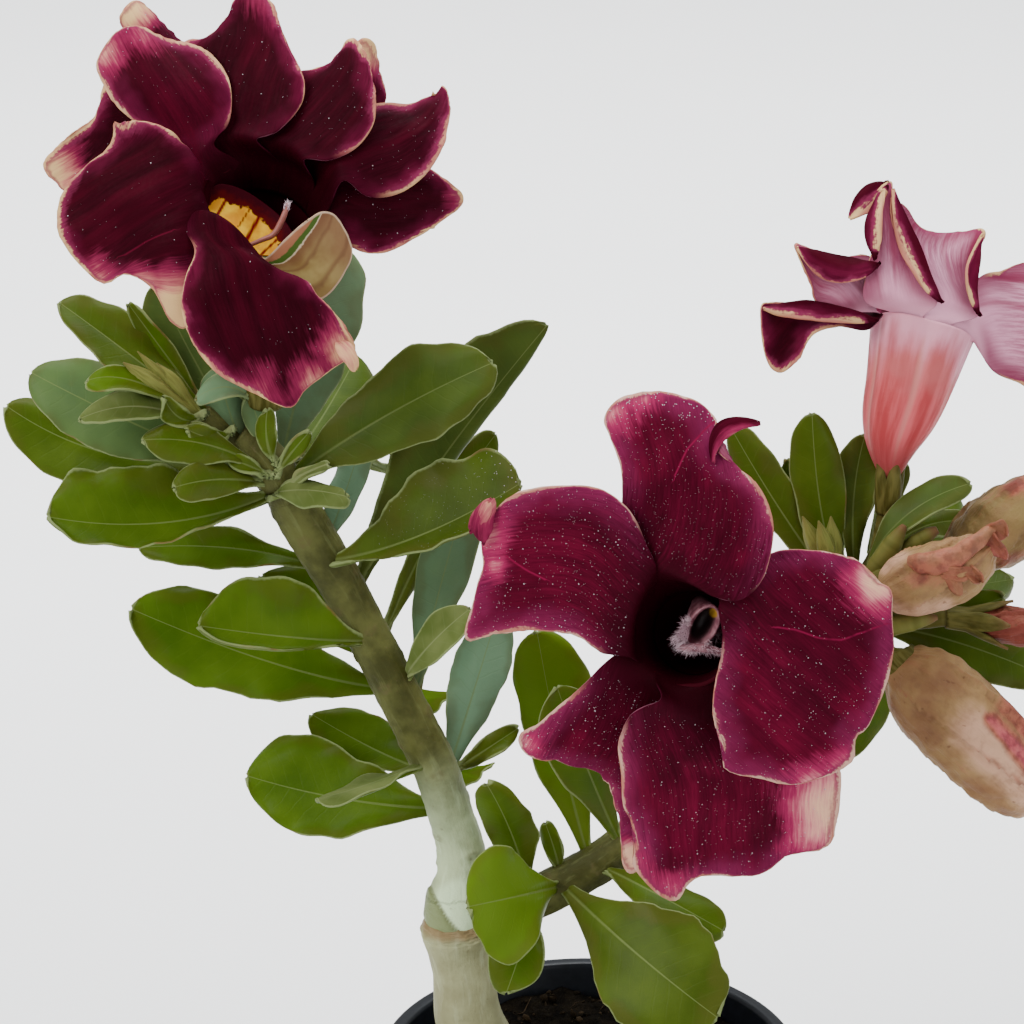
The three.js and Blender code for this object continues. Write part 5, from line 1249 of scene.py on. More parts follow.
FLOWERS = {
    "flower_1": {
        "tube": smooth(seen([[-44.5, 21, 0], [-45.3, 33, 0], [-46, 44, 2.5], [-44.8, 54.5, 11]])),
        "neck": 3.2, "mouth": 11.2, "hidden": 1.0,
        "stalk": [[-43.5, 9, 0], [-44.5, 14, 0], [-44.5, 18.5, 0]],
        "petals": [
            (170, 112, [[-57, 61, 8], [-62, 66, 6.5], [-70, 72, 4], [-73.2, 76.5, 2]],
             [[-53.6, 66, 6], [-51.2, 69.3, 5], [-50.4, 73.7, 3], [-51.2, 78.3, 0], [-54, 82.2, -3]],
             [[-74.9, 81, 0], [-71.5, 86, -3], [-67.3, 87.2, -5], [-61.6, 84.9, -5.5], [-57.5, 84, -5]],
             dict(bright=0.2, marks=[(-73.5, 83, 4.5, 0.7), (-67, 86.5, 3, 0.4)])),
            (140, 100, [[-54, 69, -3], [-60, 76, -7], [-66, 83, -10], [-70.5, 88, -12]],
             [[-49, 69, -3], [-53, 75, -8], [-57, 81, -12], [-62, 86, -14]], [[-68.3, 91.9, -14], [-65.5, 89.8, -15]],
             dict(marks=[(-69.5, 90, 6, 1.6)])),
            (150, 72, [[-57.5, 66, 0], [-61, 74, -4], [-60, 83, -8], [-54.6, 85.4, -9], [-51.6, 88.8, -10]],
             [[-46, 66.9, 6.5], [-41.8, 68.4, 6], [-38.3, 72.4, 4.5], [-37.3, 77, 2], [-40, 83.5, -3],
              [-42.6, 89.7, -8]],
             [[-49.8, 92.6, -11], [-47, 94.5, -11.5], [-44, 92.6, -10]], dict(marks=[(-42, 92, 4, 0.5)])),
            (108, 32, [[-46, 67, 3], [-43, 74, 0], [-38.5, 79.2, -2], [-34.2, 80.3, -3], [-31.3, 82.3, -4.5]],
             [[-37.5, 63.3, 9.5], [-33, 63.2, 10.5], [-28.3, 65.3, 10], [-25, 69.6, 8.5], [-24.5, 75, 6],
              [-25.6, 80.5, 1]],
             [[-29.7, 85, -5], [-28, 85, -4.5], [-26.6, 83, -1]], {}),
            (60, 22, [[-35, 69, -3], [-32, 74, -6], [-30, 80, -8], [-28, 83.5, -10]],
             [[-31, 65, -1], [-26, 68, -4], [-23, 73.5, -6], [-23.9, 80, -9]], [[-25.8, 84.9, -10]],
             dict(marks=[(-25.6, 83.5, 5, 1.4)])),
            (68, -2, [[-36, 66, 6], [-30, 71.5, 3], [-23, 73.5, 1], [-17.6, 74.2, -1], [-14.6, 75.7, -2.5]],
             [[-30.5, 59.6, 11.5], [-26, 56.8, 12.5], [-20.5, 57.2, 12], [-15.2, 61.1, 9.5], [-12.2, 66.2, 5.5],
              [-11.2, 71.5, 1]],
             [[-12.6, 77.2, -3.5], [-11.4, 75.6, -2.5]], {}),
            (30, -40, [[-31, 61, 5], [-24, 62.4, 3], [-16.5, 62.4, 1], [-12.6, 59.8, 0.5]],
             [[-31.6, 51.5, 10], [-29.3, 48, 10.5], [-25.2, 46.5, 10], [-20, 47.9, 7.5], [-14, 51.3, 3.5]],
             [[-8.9, 56.8, 0], [-10.2, 54.2, 0.5]], dict(marks=[(-8.5, 56.5, 3.5, 0.9)])),
            (145, 200, [[-58, 70, -1], [-66, 76, -4], [-72.5, 77.5, -5], [-74.4, 72, -5.5], [-79.8, 67.6, -6]],
             [[-57, 60, 1], [-66, 60, -1], [-74, 58, -3], [-79.5, 57.5, -6]],
             [[-84.5, 62.6, -7], [-81.8, 58.8, -7]], dict(marks=[(-83, 60, 7, 1.5)])),
            (150, 222, [[-55.6, 60.5, 13], [-58.2, 66, 14], [-62.5, 69.3, 13.5], [-67, 70.2, 12], [-70, 69.3, 11.5]],
             [[-54.6, 54, 17], [-56, 47, 21], [-57.5, 40, 24.5], [-58.6, 33.5, 26]],
             [[-71.7, 70.2, 11], [-72.8, 66, 11.5], [-80, 59, 12.5], [-82.1, 53.5, 14], [-80, 47.2, 17],
              [-73.9, 41.2, 20], [-68.8, 42.5, 22], [-64.5, 40, 24], [-61.5, 34.5, 26]],
             dict(swell=2, marks=[(-60.5, 35, 9.5, 1.9), (-66, 40, 4.5, 1.2), (-74, 42, 3.5, 0.8)],
                  creases=[[(-70, 46), (-66, 48.5), (-61, 50.5)]])),
            (196, 262, [[-57.8, 53.6, 19], [-58.7, 50.5, 22.5], [-57.2, 47, 25], [-59, 41.5, 28.5], [-59.4, 36, 31],
                        [-57.2, 30, 31.5]],
             [[-43.8, 43.8, 23.5], [-38.2, 41.6, 27], [-33.8, 38, 28],
              [-30, 33, 28.5]],
             [[-53.5, 25.4, 31.5], [-47.5, 22, 31], [-40.3, 19, 30], [-36.7, 22.6, 29], [-31.5, 26.2, 28],
              [-28.2, 28.6, 28]],
             dict(swell=2.5, crest=4.5, marks=[(-29, 29, 6.5, 1.3), (-35.5, 23.5, 4.5, 0.9), (-46, 21.5, 4, 0.55)])),
            (262, 312, [[-44.4, 45.6, 21], [-41, 49, 21.5], [-37.3, 52.3, 20.5]],
             [[-40, 41.5, 21.5], [-34.6, 38.4, 21], [-30.4, 42.6, 19], [-28.9, 47.5, 17]],
             [[-34.1, 54.1, 18.5], [-31.3, 52.8, 17]], dict(paint=3, ruffle=0.5)),
        ],
        "curls": [
            ([-31.5, 31, 28], [-28.6, 29, 31], [-28.2, 25.6, 31], [-1.6, -1, 1], [1, 0.6, -1], 0.7),
        ],
    },
    "flower_2": {
        "tube": smooth(seen([[57, -19, -5], [50, -20, 1], [41, -21, 9], [34, -21.5, 18], [31, -22, 27]])),
        "neck": 3.0, "mouth": 9.6, "hidden": 1.0, "bright": 0.65,
        "stalk": [[61, -17, -8], [60, -18.5, -7.5]],
        "petals": [
            (150, 58, [[22, -8, 28], [20.2, 1, 28], [19.7, 8, 27], [17.7, 13.5, 25], [16.6, 17, 23]],
             [[35.5, -14.8, 35], [40.5, -16, 36], [45, -12.2, 35.5], [47, -4, 34], [45.6, 2.6, 32], [41.5, 7.6, 30],
              [37.8, 10.4, 28.5]],
             [[19.3, 20.3, 22], [24.8, 21.7, 21.5], [30, 21.1, 22], [34.8, 19, 23.5], [36.6, 14.5, 27]],
             dict(marks=[(17.5, 19.5, 5, 0.75), (22, 21.5, 4, 0.6)],
                  creases=[[(29.3, 6.5), (31.5, 11.2), (36, 16.3)]])),
            (122, 214, [[26, -10, 31], [24.3, -6, 32], [21.4, 0, 32], [16.2, 4, 31], [9, 4.8, 29.5], [2, 3.9, 28]],
             [[20.6, -26, 29], [16.5, -25.2, 29.5], [11, -22.2, 29.5], [4, -21, 29], [-3, -22.3, 28]],
             [[-3, 0.5, 27], [-5.8, -4.5, 26.5], [-5.3, -10, 26], [-7, -16, 26], [-8.3, -22.8, 26]],
             dict(marks=[(-4.5, -3.5, 4.5, 0.9), (-3, -9.5, 2.5, 0.55)], creases=[[(-1, -8), (3, -10.5), (6, -12)]])),
            (188, 272, [[17, -27, 27], [11, -32.8, 27], [5, -37.8, 26], [1.7, -39.7, 25]],
             [[31, -36, 24], [31, -47, 22], [27, -57, 21], [23, -64, 20]],
             [[1.3, -41.8, 25], [3, -43.9, 24.5], [9.4, -45.2, 24], [16.2, -47.7, 23], [19, -53, 22], [19.5, -59, 21],
              [20.2, -64, 20]],
             dict(marks=[(1.8, -41, 4, 0.6), (21, -62.5, 4.5, 1.7)])),
            (232, 322, [[26.8, -33.6, 33], [22, -36, 33], [19.2, -41, 32.5], [19.6, -47, 31.5], [20, -52.5, 30.5],
                        [22.4, -58.5, 29.5]],
             [[40, -37, 26], [50, -41, 24.5], [58, -45, 23.5], [59.2, -50, 23], [58.2, -56.5, 23]],
             [[22, -64, 28.5], [29, -69.8, 27], [33.5, -65.5, 26.5], [43.8, -65.3, 25.5], [49.5, -62, 24.5],
              [56.3, -60.5, 23.5]],
             dict(marks=[(60.5, -54, 12.5, 1.75), (55.5, -61, 4, 0.8), (29, -69, 3.5, 0.4), (22, -62, 3, 0.5)])),
            (80, 36, [[42, -12.5, 29], [47.5, -7.4, 28.5], [54.7, -6.9, 28], [61.5, -8.6, 27.5]],
             [[37.2, -17.5, 34], [37.9, -24, 36.5], [36.6, -31, 36.5], [36.2, -36, 36], [38.3, -42.5, 35]],
             [[64.4, -10.6, 27], [66.4, -12.8, 27], [68.2, -14.2, 27], [68.4, -19, 27.5], [68.5, -27, 28.5],
              [64.5, -37.3, 30], [61.8, -41, 31], [60.8, -45.3, 31.5], [52.9, -48.6, 32.5], [45, -48, 33.5],
              [38.4, -46.2, 34.5]],
             dict(swell=2.5, marks=[(66, -12.5, 6.5, 1.35), (53.5, -49, 4.5, 1.0), (61, -45.5, 3.5, 0.8)],
                  creases=[[(47.5, -20.8), (51, -21.2), (55, -22.5), (59, -22.9), (67.5, -20)]])),
        ],
        "curls": [
            ([-5.4, -5.5, 27.4], [-6.4, -2, 28.4], [-3.6, 2.4, 27], [1.8, -0.6, 0.6], [-1.7, 0.7, -0.6], 0.1),
            ([-7.6, -3.4, 26.6], [-5.5, -1.2, 28.2], [-4.2, 1.6, 27.6], [1.2, -0.6, 0.6], [-1.2, 0.6, -0.6], 0.3),
        ],
        "horns": [
            ([36, 9, 29.5], [35.4, 16.8, 28.6], [44.6, 16, 25.6], [0.9, -1.2, 0.6], [-0.7, 1.5, -0.6]),
        ],
    },
    "flower_3": {
        "tube": smooth(seen([[67.8, 4, -12], [68.6, 13, -14], [71.5, 23, -17], [74, 33, -22]])),
        "neck": 1.7, "mouth": 9.4, "folds": 0.11,
        "stations": [(0, 1.7), (0.1, 2.1), (0.24, 4.0), (0.36, 5.6), (0.5, 6.9), (0.72, 8.0), (1, 9.4)],
        "stalk": [[65, -12, -9], [66.4, -5, -11], [67.4, 0, -12]],
        "petals": [
            # the lowest petal at the left: its dark face rolls up over its red back
            (176, 214, [[62.5, 36, -22], [58, 36.6, -21], [51, 37.2, -19], [46.5, 37.8, -17]],
             [[64, 32.8, -18], [58.7, 33.4, -16], [54, 31.5, -14], [51.9, 27.8, -12.5]],
             [[44.7, 36.8, -16], [45, 31, -14], [46.2, 26.6, -12.5], [48, 25.1, -12], [50, 26, -12]],
             dict(ruffle=0.5)),
            # the left petal, lilac outside
            (206, 168, [[60.5, 36, -17.5], [56.5, 36.4, -16.5], [54.5, 38, -16], [53.3, 41.5, -16]],
             [[66, 42, -18], [64.5, 46, -19.5], [60.5, 45.8, -20], [56, 46, -20]],
             [[51.5, 45.6, -17.5], [50.8, 48.2, -19], [52.8, 47.6, -20]], dict(ruffle=0.5)),
            # the top petal, its sides rolled outwards and its end bent to the left
            (262, 226, [[76.5, 37.8, -13], [73.6, 42, -14.5], [70.6, 47.2, -17], [68.4, 54, -20]],
             [[63.5, 38, -15], [63.8, 43.5, -16], [65, 48, -18], [64.6, 53, -20.5]],
             [[68.6, 58.4, -23.5], [67.6, 59.4, -24], [65.4, 57.4, -22.5]], dict(ruffle=0.5)),
            # the petal at the right of it
            (296, 252, [[84, 35.4, -18], [82.6, 39.5, -19], [82.2, 44, -21], [84.6, 48.6, -24]],
             [[74, 38, -17], [71.5, 44, -20], [69.6, 50, -23], [69.8, 55.6, -25.5]],
             [[84.6, 50.6, -25.5], [78, 50, -27], [73.5, 51.2, -27]], dict(ruffle=0.5)),
            # the right petal, cut by the picture's edge
            (352, 288, [[86.6, 25.4, -20], [92, 22.8, -20], [97.5, 18.6, -19]],
             [[83.8, 42, -24], [88, 43.4, -27], [92, 44.8, -29]],
             [[101.5, 24, -20], [102.5, 33, -24], [98.5, 45.4, -30]], dict(ruffle=0.6)),
            (340, 400, [[86, 41, -28], [90, 44, -32], [97, 42, -35]],
             [[86, 33, -31], [93, 31.5, -33], [101, 34, -35]], [[103, 38, -36]], {}),
            (65, 135, [[78, 32, -35], [77, 35, -45], [73, 40, -53]],
             [[67, 33, -34], [64, 37, -44], [63, 42, -52]], [[67, 43, -56]], {}),
        ],
        # strips of the dark face that roll over the margins, from root along the margin to tip
        "rolls": [
            ([66, 34.4, -16], [55, 36.6, -13.5], [45.3, 36.6, -14], [0, 1.6, -1.5], [0, -1.8, 1]),
            ([66.2, 44.6, -15], [59, 40.8, -15], [51.3, 47.6, -17.5], [0.5, 2.6, -2], [-0.4, -2.2, 1]),
            ([65.6, 45.6, -14], [64.4, 51, -16], [66.9, 58, -22], [-1.9, 0, -1], [1.3, 0, 0.5]),
            ([77.4, 37.6, -11.5], [71.2, 44.6, -14.5], [68.6, 58.2, -22.5], [1.5, 0.9, -1], [-1.4, -0.8, 0.5]),
            ([84.2, 35.2, -16.5], [80.5, 42.5, -17.5], [84.8, 50, -24.5], [1.4, 0, -0.6], [-0.9, 0, 0.3]),
            ([67.8, 59.2, -23.5], [64, 57.6, -22], [60.8, 52.8, -20.5], [-1.4, 1.4, -1], [1.6, -2, 1]),
        ],
    },
}


def spindle(power):
    """A width that starts and ends at nearly nothing; a low power makes it full soon"""
    return lambda share: np.maximum(np.sin(math.pi * share), 0) ** power + 0.02


def curl(root, bend, tip, right, left, cream):
    """A corner that turns over and shows its rosy back"""
    made = leaf(root, bend, tip, right, left, rows=24, wave=0.3, crimp=0.6, rib=0.1, width_at=spindle(0.5))
    share = made["values"]["share"]
    return wearing(made, cream=cream + 0.4 * share**2, side=1.0, rim=3.0, share=0.6 + share / 3)


def horn(root, bend, tip, right, left):
    """A corner that folds over to one side, dark above and pale below"""
    made = leaf(root, bend, tip, right, left, rows=30, wave=0.2, crimp=0.4, rib=0.1, width_at=spindle(0.5))
    return wearing(made, cream=0.6 * made["values"]["turn"] - 0.25, bright=0.2, rim=5.0, side=1.0, share=0.8)


def roll(root, bend, tip, right, left):
    """A margin that curls over: a strip whose left side carries the cream rim and whose face is dark"""
    made = leaf(root, bend, tip, right, left, rows=33, wave=0.2, crimp=0.5, rib=0.1, width_at=spindle(0.75))
    share, turn, across, rim = (made["values"][name] for name in ("share", "turn", "across", "rim"))
    rim = 0.5 * rim + np.where(turn > 0, 2 * np.abs(across), 0) + 3 * ease(0.16, 0.04, share)
    return wearing(made, rim=rim, share=0.5 + 0.4 * share, cream=-1.0, side=1.0)


def calyx_shapes(stalk, tube, foot, lobes, seed=0):
    """A stalk with five pointed sepals round the foot of a tube or bud"""
    places = seen(stalk)
    stem = smooth(np.vstack([places, tube(0.02)[None]]))
    shapes = [limb(stem, [1.7, 1.6, 1.9], 20, 20)]
    shapes[0]["values"]["share"] *= 0.4
    cup = smooth(np.vstack([places[-1:], tube(0.0)[None], tube(0.14)[None]]))
    length = np.linalg.norm(tube(0.14) - places[-1])
    for k in range(5):
        middle = 2 * math.pi * k / 5
        s, t = np.meshgrid(np.linspace(0, 1, 22), np.linspace(-1, 1, 13), indexing="ij")
        half_angle = math.radians(40) * np.where(s < 0.45, 1.0, np.clip(1 - ((s - 0.45) / 0.55) ** 1.25, 0.01, 1))
        angle = middle + t * half_angle
        reach = s * (length + lobes)
        share = np.minimum(reach / length, 1.0)
        beyond = np.maximum(reach - length, 0)[..., None]
        radius = np.interp(share, [0, 0.3, 1], [1.75, foot + 0.45, foot + 0.55])
        radius = radius + 0.3 * np.maximum(beyond[..., 0], 0) + 0.25 * (1 - t**2) * ease(0.2, 0.6, s) + 0.03 * k
        tangent = heading(cup, share)
        first, second = cross_axes(tangent, unit(cup(1.0) - cup(0.0)))
        grid = cup(share) + tangent * beyond + radius[..., None] * around(angle, first, second)
        shapes.append(sheet(grid, 0.45, share=s * 0.85, along=reach, across=t * half_angle * foot,
                            tone=(k * 0.23 + seed) % 1))
    return shapes


def flower_piece(name, flower, seed):
    petals = [petal(flower, *spec[:5], seed=seed + 10 * k, **spec[5]) for k, spec in enumerate(flower["petals"])]
    made = petals + [turn(*spec) for turn in (curl, roll, horn) for spec in flower.get(turn.__name__ + "s", [])]
    piece(name + "_corolla", made + [tube_shape(flower)], [PETAL, TUBE, THROAT, BEIGE], node=name + "_petals")
    calyx = calyx_shapes(flower["stalk"], flower["tube"], flower["neck"], lobes=3.0, seed=seed)
    piece(name + "_sepals", calyx, [CALYX], node=name + "_calyx")
    return petals


PETALS = {name: flower_piece(name, flower, 100 * (k + 1)) for k, (name, flower) in enumerate(FLOWERS.items())}


def depth_inside(points, outline):
    """How far seen points lie inside a closed outline, in millimetres; below zero outside it"""
    closed = np.array(outline + outline[:1], float)
    far = far_from_line(points, closed)
    x, y = points[..., 0], points[..., 1]
    within = np.zeros(x.shape, bool)
    for (x0, y0), (x1, y1) in zip(closed[:-1], closed[1:]):
        crosses = (y0 > y) != (y1 > y)
        within ^= crosses & (x < x0 + (y - y0) * (x1 - x0) / (y1 - y0 if y1 != y0 else 1e-9))
    return np.where(within, far, -far)


# The lit floor of flower 1's throat: a yellow patch with red rays, outlined as the viewer sees it
GOLD_TOP = [[-55, 57.5, 7.5], [-52.5, 59, 7], [-48.5, 58, 7], [-44.5, 55.5, 7.5], [-41, 52.5, 9.5], [-39, 49.5, 12]]
GOLD_FOOT = [[-55, 52, 13.5], [-53, 51.2, 14], [-50.5, 49.5, 14.5], [-48.5, 47, 15], [-47, 44.7, 16],
             [-44.5, 42.5, 17]]
GOLD_OUTLINE = [(-56, 55), (-54.3, 55.8), (-52, 57), (-50.6, 56.2), (-50.2, 55.4), (-48.2, 55.3), (-45.4, 53.2),
                (-43.6, 51.6), (-42.2, 50.6), (-41.6, 48.5), (-43, 45), (-46, 42), (-50, 46), (-57, 50)]
GOLD_RAYS = [(0.26, [(-53.6, 52.3), (-50.8, 57.4)]), (0.12, [(-49.4, 51.2), (-47.3, 54.4)]),
             (0.34, [(-48.2, 48.4), (-45.3, 53.4)]), (0.2, [(-46.2, 45.3), (-42.3, 48.9)])]


def gold_piece():
    v, u = np.meshgrid(np.linspace(0, 1, 50), np.linspace(0, 1, 66), indexing="ij")
    top, foot = smooth(seen(GOLD_TOP)), smooth(seen(GOLD_FOOT))
    grid = top(u) * (1 - v[..., None]) + foot(u) * v[..., None]
    grid = grid - 1.5 * np.sin(math.pi * v)[..., None] * heading(FLOWERS["flower_1"]["tube"], 1.0)
    view = in_view(grid)
    ray = np.zeros(v.shape)
    for half, line in GOLD_RAYS:
        ray = np.maximum(ray, ease(1.5 * half, 0.7 * half, far_from_line(view, np.array(line, float))))
    floor = sheet(grid, 0.5, gold=depth_inside(view, GOLD_OUTLINE), ray=ray)
    piece("flower_1_throat", [floor], [THROAT])


gold_piece()


# Anthers: a woolly cone on the floor of each throat
def anther_piece(name, flower, reach, count, extra=()):
    tube = flower["tube"]
    spine = smooth(np.vstack([tube(0.4), tube((0.4 + reach) / 2), tube(reach)]))
    cone = limb(spine, [2.4, 3.0, 2.0, 0.4], 30, 30, lambda s, a: 1 + 0.15 * np.cos(5 * a))
    places, normals, _ = scatter(5, cone, count)
    random = np.random.default_rng(6)
    lean = normals + 0.5 * heading(tube, reach) + random.normal(scale=0.4, size=normals.shape)
    wool = hairs(places, lean, random.uniform(0.7, 2.0, count), width=0.05, paint=1)
    piece(name + "_wool", [cone, wool, *extra], [ANTHER, WOOL], node=name + "_anthers")


def woolly(places, middle, spread, shortest, longest, seed):
    """White hairs that stand away from a middle"""
    random = np.random.default_rng(seed)
    lean = unit(places - middle) + random.normal(scale=spread, size=places.shape)
    return hairs(places, lean, random.uniform(shortest, longest, len(places)), width=0.045, paint=1)


TAIL = [(-47.8, 47.8, 18, 0.35), (-45.2, 48.9, 18, 0.42), (-43, 49.9, 18, 0.5), (-41.7, 51.9, 17.5, 0.55),
        (-40.9, 53.8, 17, 0.5), (-40.3, 55.6, 16, 0.28)]
TAIL_HAIRS = 90


def tail_shapes():
    """Flower 1's one stamen in sight: its tail curves out of the throat and ends in fine hairs"""
    tail = placed_limb(TAIL, rows=50, sides=16, tail=1.0)
    ends, _, _ = scatter(71, tail, TAIL_HAIRS, tail["values"]["share"] > 0.82)
    return [tail, woolly(ends, seen([-41.2, 52.6, 17]), spread=0.3, shortest=0.4, longest=1.0, seed=72)]


BOWL = [34.4, -20.6, 29.0]
BOWL_LONG, BOWL_SHORT = [0.52, 0.85, 0.0], [0.85, -0.52, 0.0]
# depth below the rim, then the two radii, from the outer foot over the rim to the bottom of the hollow
BOWL_RINGS = [(10, 1.8, 1.7), (6, 2.8, 2.4), (2.5, 3.7, 2.5), (0.6, 4.2, 2.7), (0, 4.25, 2.6), (-0.15, 4.05, 2.35),
              (0.15, 3.8, 2.0), (0.8, 3.45, 1.7), (2, 2.8, 1.4), (3.4, 1.8, 1.0), (4, 0.3, 0.2)]
BOWL_ROWS, BOWL_SIDES = 44, 48
BOWL_RIM = slice(12, 24)
BOWL_GOLD = [36.4, -18.1]
SILL = [(29.8, -24.2, 29, 0.5), (31.6, -24.4, 30, 0.8), (34.6, -24.5, 30.5, 0.8), (38, -25.3, 30, 0.5)]
TUFT = [(29.6, -23.4, 29.5, 0.8), (31, -22, 30, 0.9), (31.6, -19.6, 29.5, 0.5)]
SILL_HAIRS = 420


def bowl_shapes():
    """Flower 2's stamens join in a rosy bowl that opens to the viewer, woolly along its left and under it"""
    middle, long_way, short_way = seen(BOWL), unit(step(BOWL, BOWL_LONG)), unit(step(BOWL, BOWL_SHORT))
    out = unit(np.cross(short_way, long_way))
    turns = full_turn(BOWL_SIDES)[:, None]
    rings = np.array([middle - depth * out + long * np.cos(turns) * long_way + short * np.sin(turns) * short_way
                      for depth, long, short in smooth(BOWL_RINGS)(np.linspace(0, 1, BOWL_ROWS))])
    share = np.linspace(0, 1, BOWL_ROWS)[:, None] + 0 * turns.T
    view = in_view(rings)
    from_gold = np.hypot(view[..., 0] - BOWL_GOLD[0], view[..., 1] - BOWL_GOLD[1])
    # the inner part of the hollow is marked for painted shade
    bowl = body(rings, hollow=ease(0.62, 0.8, share), gold=np.where(share > 0.6, 1.1 - from_gold, -1))
    rim, rim_view = rings[BOWL_RIM].reshape(-1, 3), view[BOWL_RIM].reshape(-1, 2)
    lower_left = (rim_view[:, 0] - BOWL[0]) * -0.8 + (rim_view[:, 1] - BOWL[1]) * -0.6
    sill = placed_limb(SILL, rows=30, sides=14)
    sill_places, _, _ = scatter(81, sill, SILL_HAIRS)
    tuft_places, _, _ = scatter(83, placed_limb(TUFT, rows=24, sides=12), SILL_HAIRS)
    rim_places = np.repeat(rim[lower_left > 0.5], 3, axis=0)
    return [bowl, sill, woolly(rim_places, middle, spread=0.35, shortest=0.5, longest=1.5, seed=82),
            woolly(sill_places, seen([34, -22.5, 29]), spread=0.4, shortest=0.4, longest=1.5, seed=84),
            woolly(tuft_places, seen([33.5, -20.8, 28]), spread=0.4, shortest=0.5, longest=1.7, seed=85)]


anther_piece("flower_1", FLOWERS["flower_1"], reach=0.7, count=500, extra=tail_shapes())
anther_piece("flower_2", FLOWERS["flower_2"], reach=0.7, count=500, extra=bowl_shapes())
anther_piece("flower_3", FLOWERS["flower_3"], reach=0.85, count=900)

# Buds: spindles of furled petals that overlap along spiral lines. Stains are lines of seen points with a reach
# and a strength: flushed ones are pink, pale ones cream. Scraps are crumpled bits of petal at a bud's tip.
BUDS = {
    "bud_twisted": dict(
        spine=[[66.5, -13.8, 2], [72.5, -12.7, 4], [79.5, -10.2, 5], [87, -5.6, 4]], radius=6.1,
        stations=[(0, 0.4), (0.08, 0.66), (0.22, 0.93), (0.45, 1.0), (0.7, 0.93), (0.88, 0.66), (1, 0.2)],
        stalk=[[62, -17, -6], [64.5, -15.5, -1.5]], lobes=1.5, green=0.25,
        flushed=[([(71, -12), (78, -12.5)], 3.2, 0.5), ([(80, -10), (87, -6)], 3.5, 0.45)],
        pale=[([(66.5, -17), (72, -19), (78, -17)], 3.5, 1.0), ([(67, -10), (70, -8)], 3, 0.7)],
        folds=[([(71.4, -8.6, 7.5, 0.9), (73.2, -9, 8.6, 1.8), (76.5, -9.2, 9.2, 2.2), (80, -8, 9, 2.1),
                 (83.4, -5.4, 8, 1.5), (86.6, -2.6, 6, 0.8)], 0.75)],
        scraps=[([84.8, -3.4, 6], [87.6, -1.9, 6], [89, -4.2, 6], [0.7, 1.2, 1], [-0.9, -1.2, -0.5], 0.7),
                ([85.6, -3.6, 6.5], [86.6, -6, 7], [88.9, -8.4, 6], [1.3, 0.6, 1], [-1.5, -0.3, -0.5], 0.9),
                ([77, -10.6, 10], [80, -11.6, 11], [83.4, -10.8, 10], [0.3, 1.2, 0.6], [-0.4, -1.3, 0.8], 0.5),
                ([78.6, -11, 10], [79.6, -13, 11.2], [80.6, -14.9, 10.4], [1.2, 0.4, 0.5], [-1.2, -0.2, 0.5], 0.6),
                ([81.4, -9.6, 9.4], [83.2, -11, 10.4], [84.4, -12.4, 9.4], [0.9, 0.7, 0.5], [-0.9, -0.6, 0.5], 0.5)]),
    "bud_behind": dict(
        spine=[[76, -11, -13], [83, -6, -14], [92, 0, -15], [105, 9, -16]], radius=7.0,
        stalk=[[64, -14, -9], [70, -13.5, -11], [75, -11.5, -13]], lobes=2.0, green=0.95,
        flushed=[([(90, 4), (100, 9)], 3.6, 0.9), ([(88, -9), (97, -6)], 3, 0.7)]),
    "bud_hanging": dict(
        spine=[[69, -26.8, 0], [76, -33, 3], [84.5, -41.5, 5], [95, -53, 5]], radius=8.5,
        stations=[(0, 0.38), (0.08, 0.62), (0.22, 0.9), (0.42, 1.0), (0.68, 0.98), (0.88, 0.82), (1, 0.3)],
        stalk=[[62, -20, -7], [66, -24, -3], [68.5, -26, -0.5]], lobes=2.0, green=0.0,
        flushed=[([(86.4, -37.4), (92, -43.9), (99, -51)], 2.8, 1.45),
                 ([(89.5, -35.5), (97, -42), (103, -49)], 5.5, 1.0),
                 ([(71.5, -27.5), (76, -29)], 3.5, 0.35), ([(80, -45), (88, -53)], 2.5, 0.3)],
        pale=[([(83, -39.5), (88, -44.5), (93, -50), (97, -55)], 7.5, 1.15)]),
    "bud_slim": dict(
        spine=[[79, -19, -2], [86, -19.8, -1], [95, -21, -1], [106, -23.5, -2]], radius=3.4,
        stalk=[[63, -17, -7], [71, -19.5, -3], [78, -19, -2]], lobes=8.0, green=0.0,
        tone=1.0, flushed=[([(78, -19), (106, -23.5)], 9, 1.0)]),
}
BUD_ROWS, BUD_SIDES = 84, 96
BUD_WIND = 1.1
BUD_STATIONS = [(0, 0.32), (0.14, 0.45), (0.3, 0.8), (0.48, 1), (0.68, 0.92), (0.86, 0.6), (1, 0.2)]


def stained(points, stains):
    """How strongly points are coloured by lines of stain"""
    view, total = in_view(points), np.zeros(len(points))
    for line, reach, strength in stains:
        total = np.maximum(total, strength * ease(reach, 0.0, far_from_line(view, np.array(line, float))))
    return total


def scrap(root, bend, tip, right, left, flush):
    made = leaf(root, bend, tip, right, left, rows=18, wave=0.3, crimp=0.9, rib=0.1, width_at=spindle(0.35))
    return wearing(made, flush=flush)


def furling(share, angle, wind, start=0.0):
    """How far across its petal of five each point lies, from 0 to 1, along lines that wind round a bud"""
    return (5 * angle / (2 * math.pi) + wind * share + start) % 1


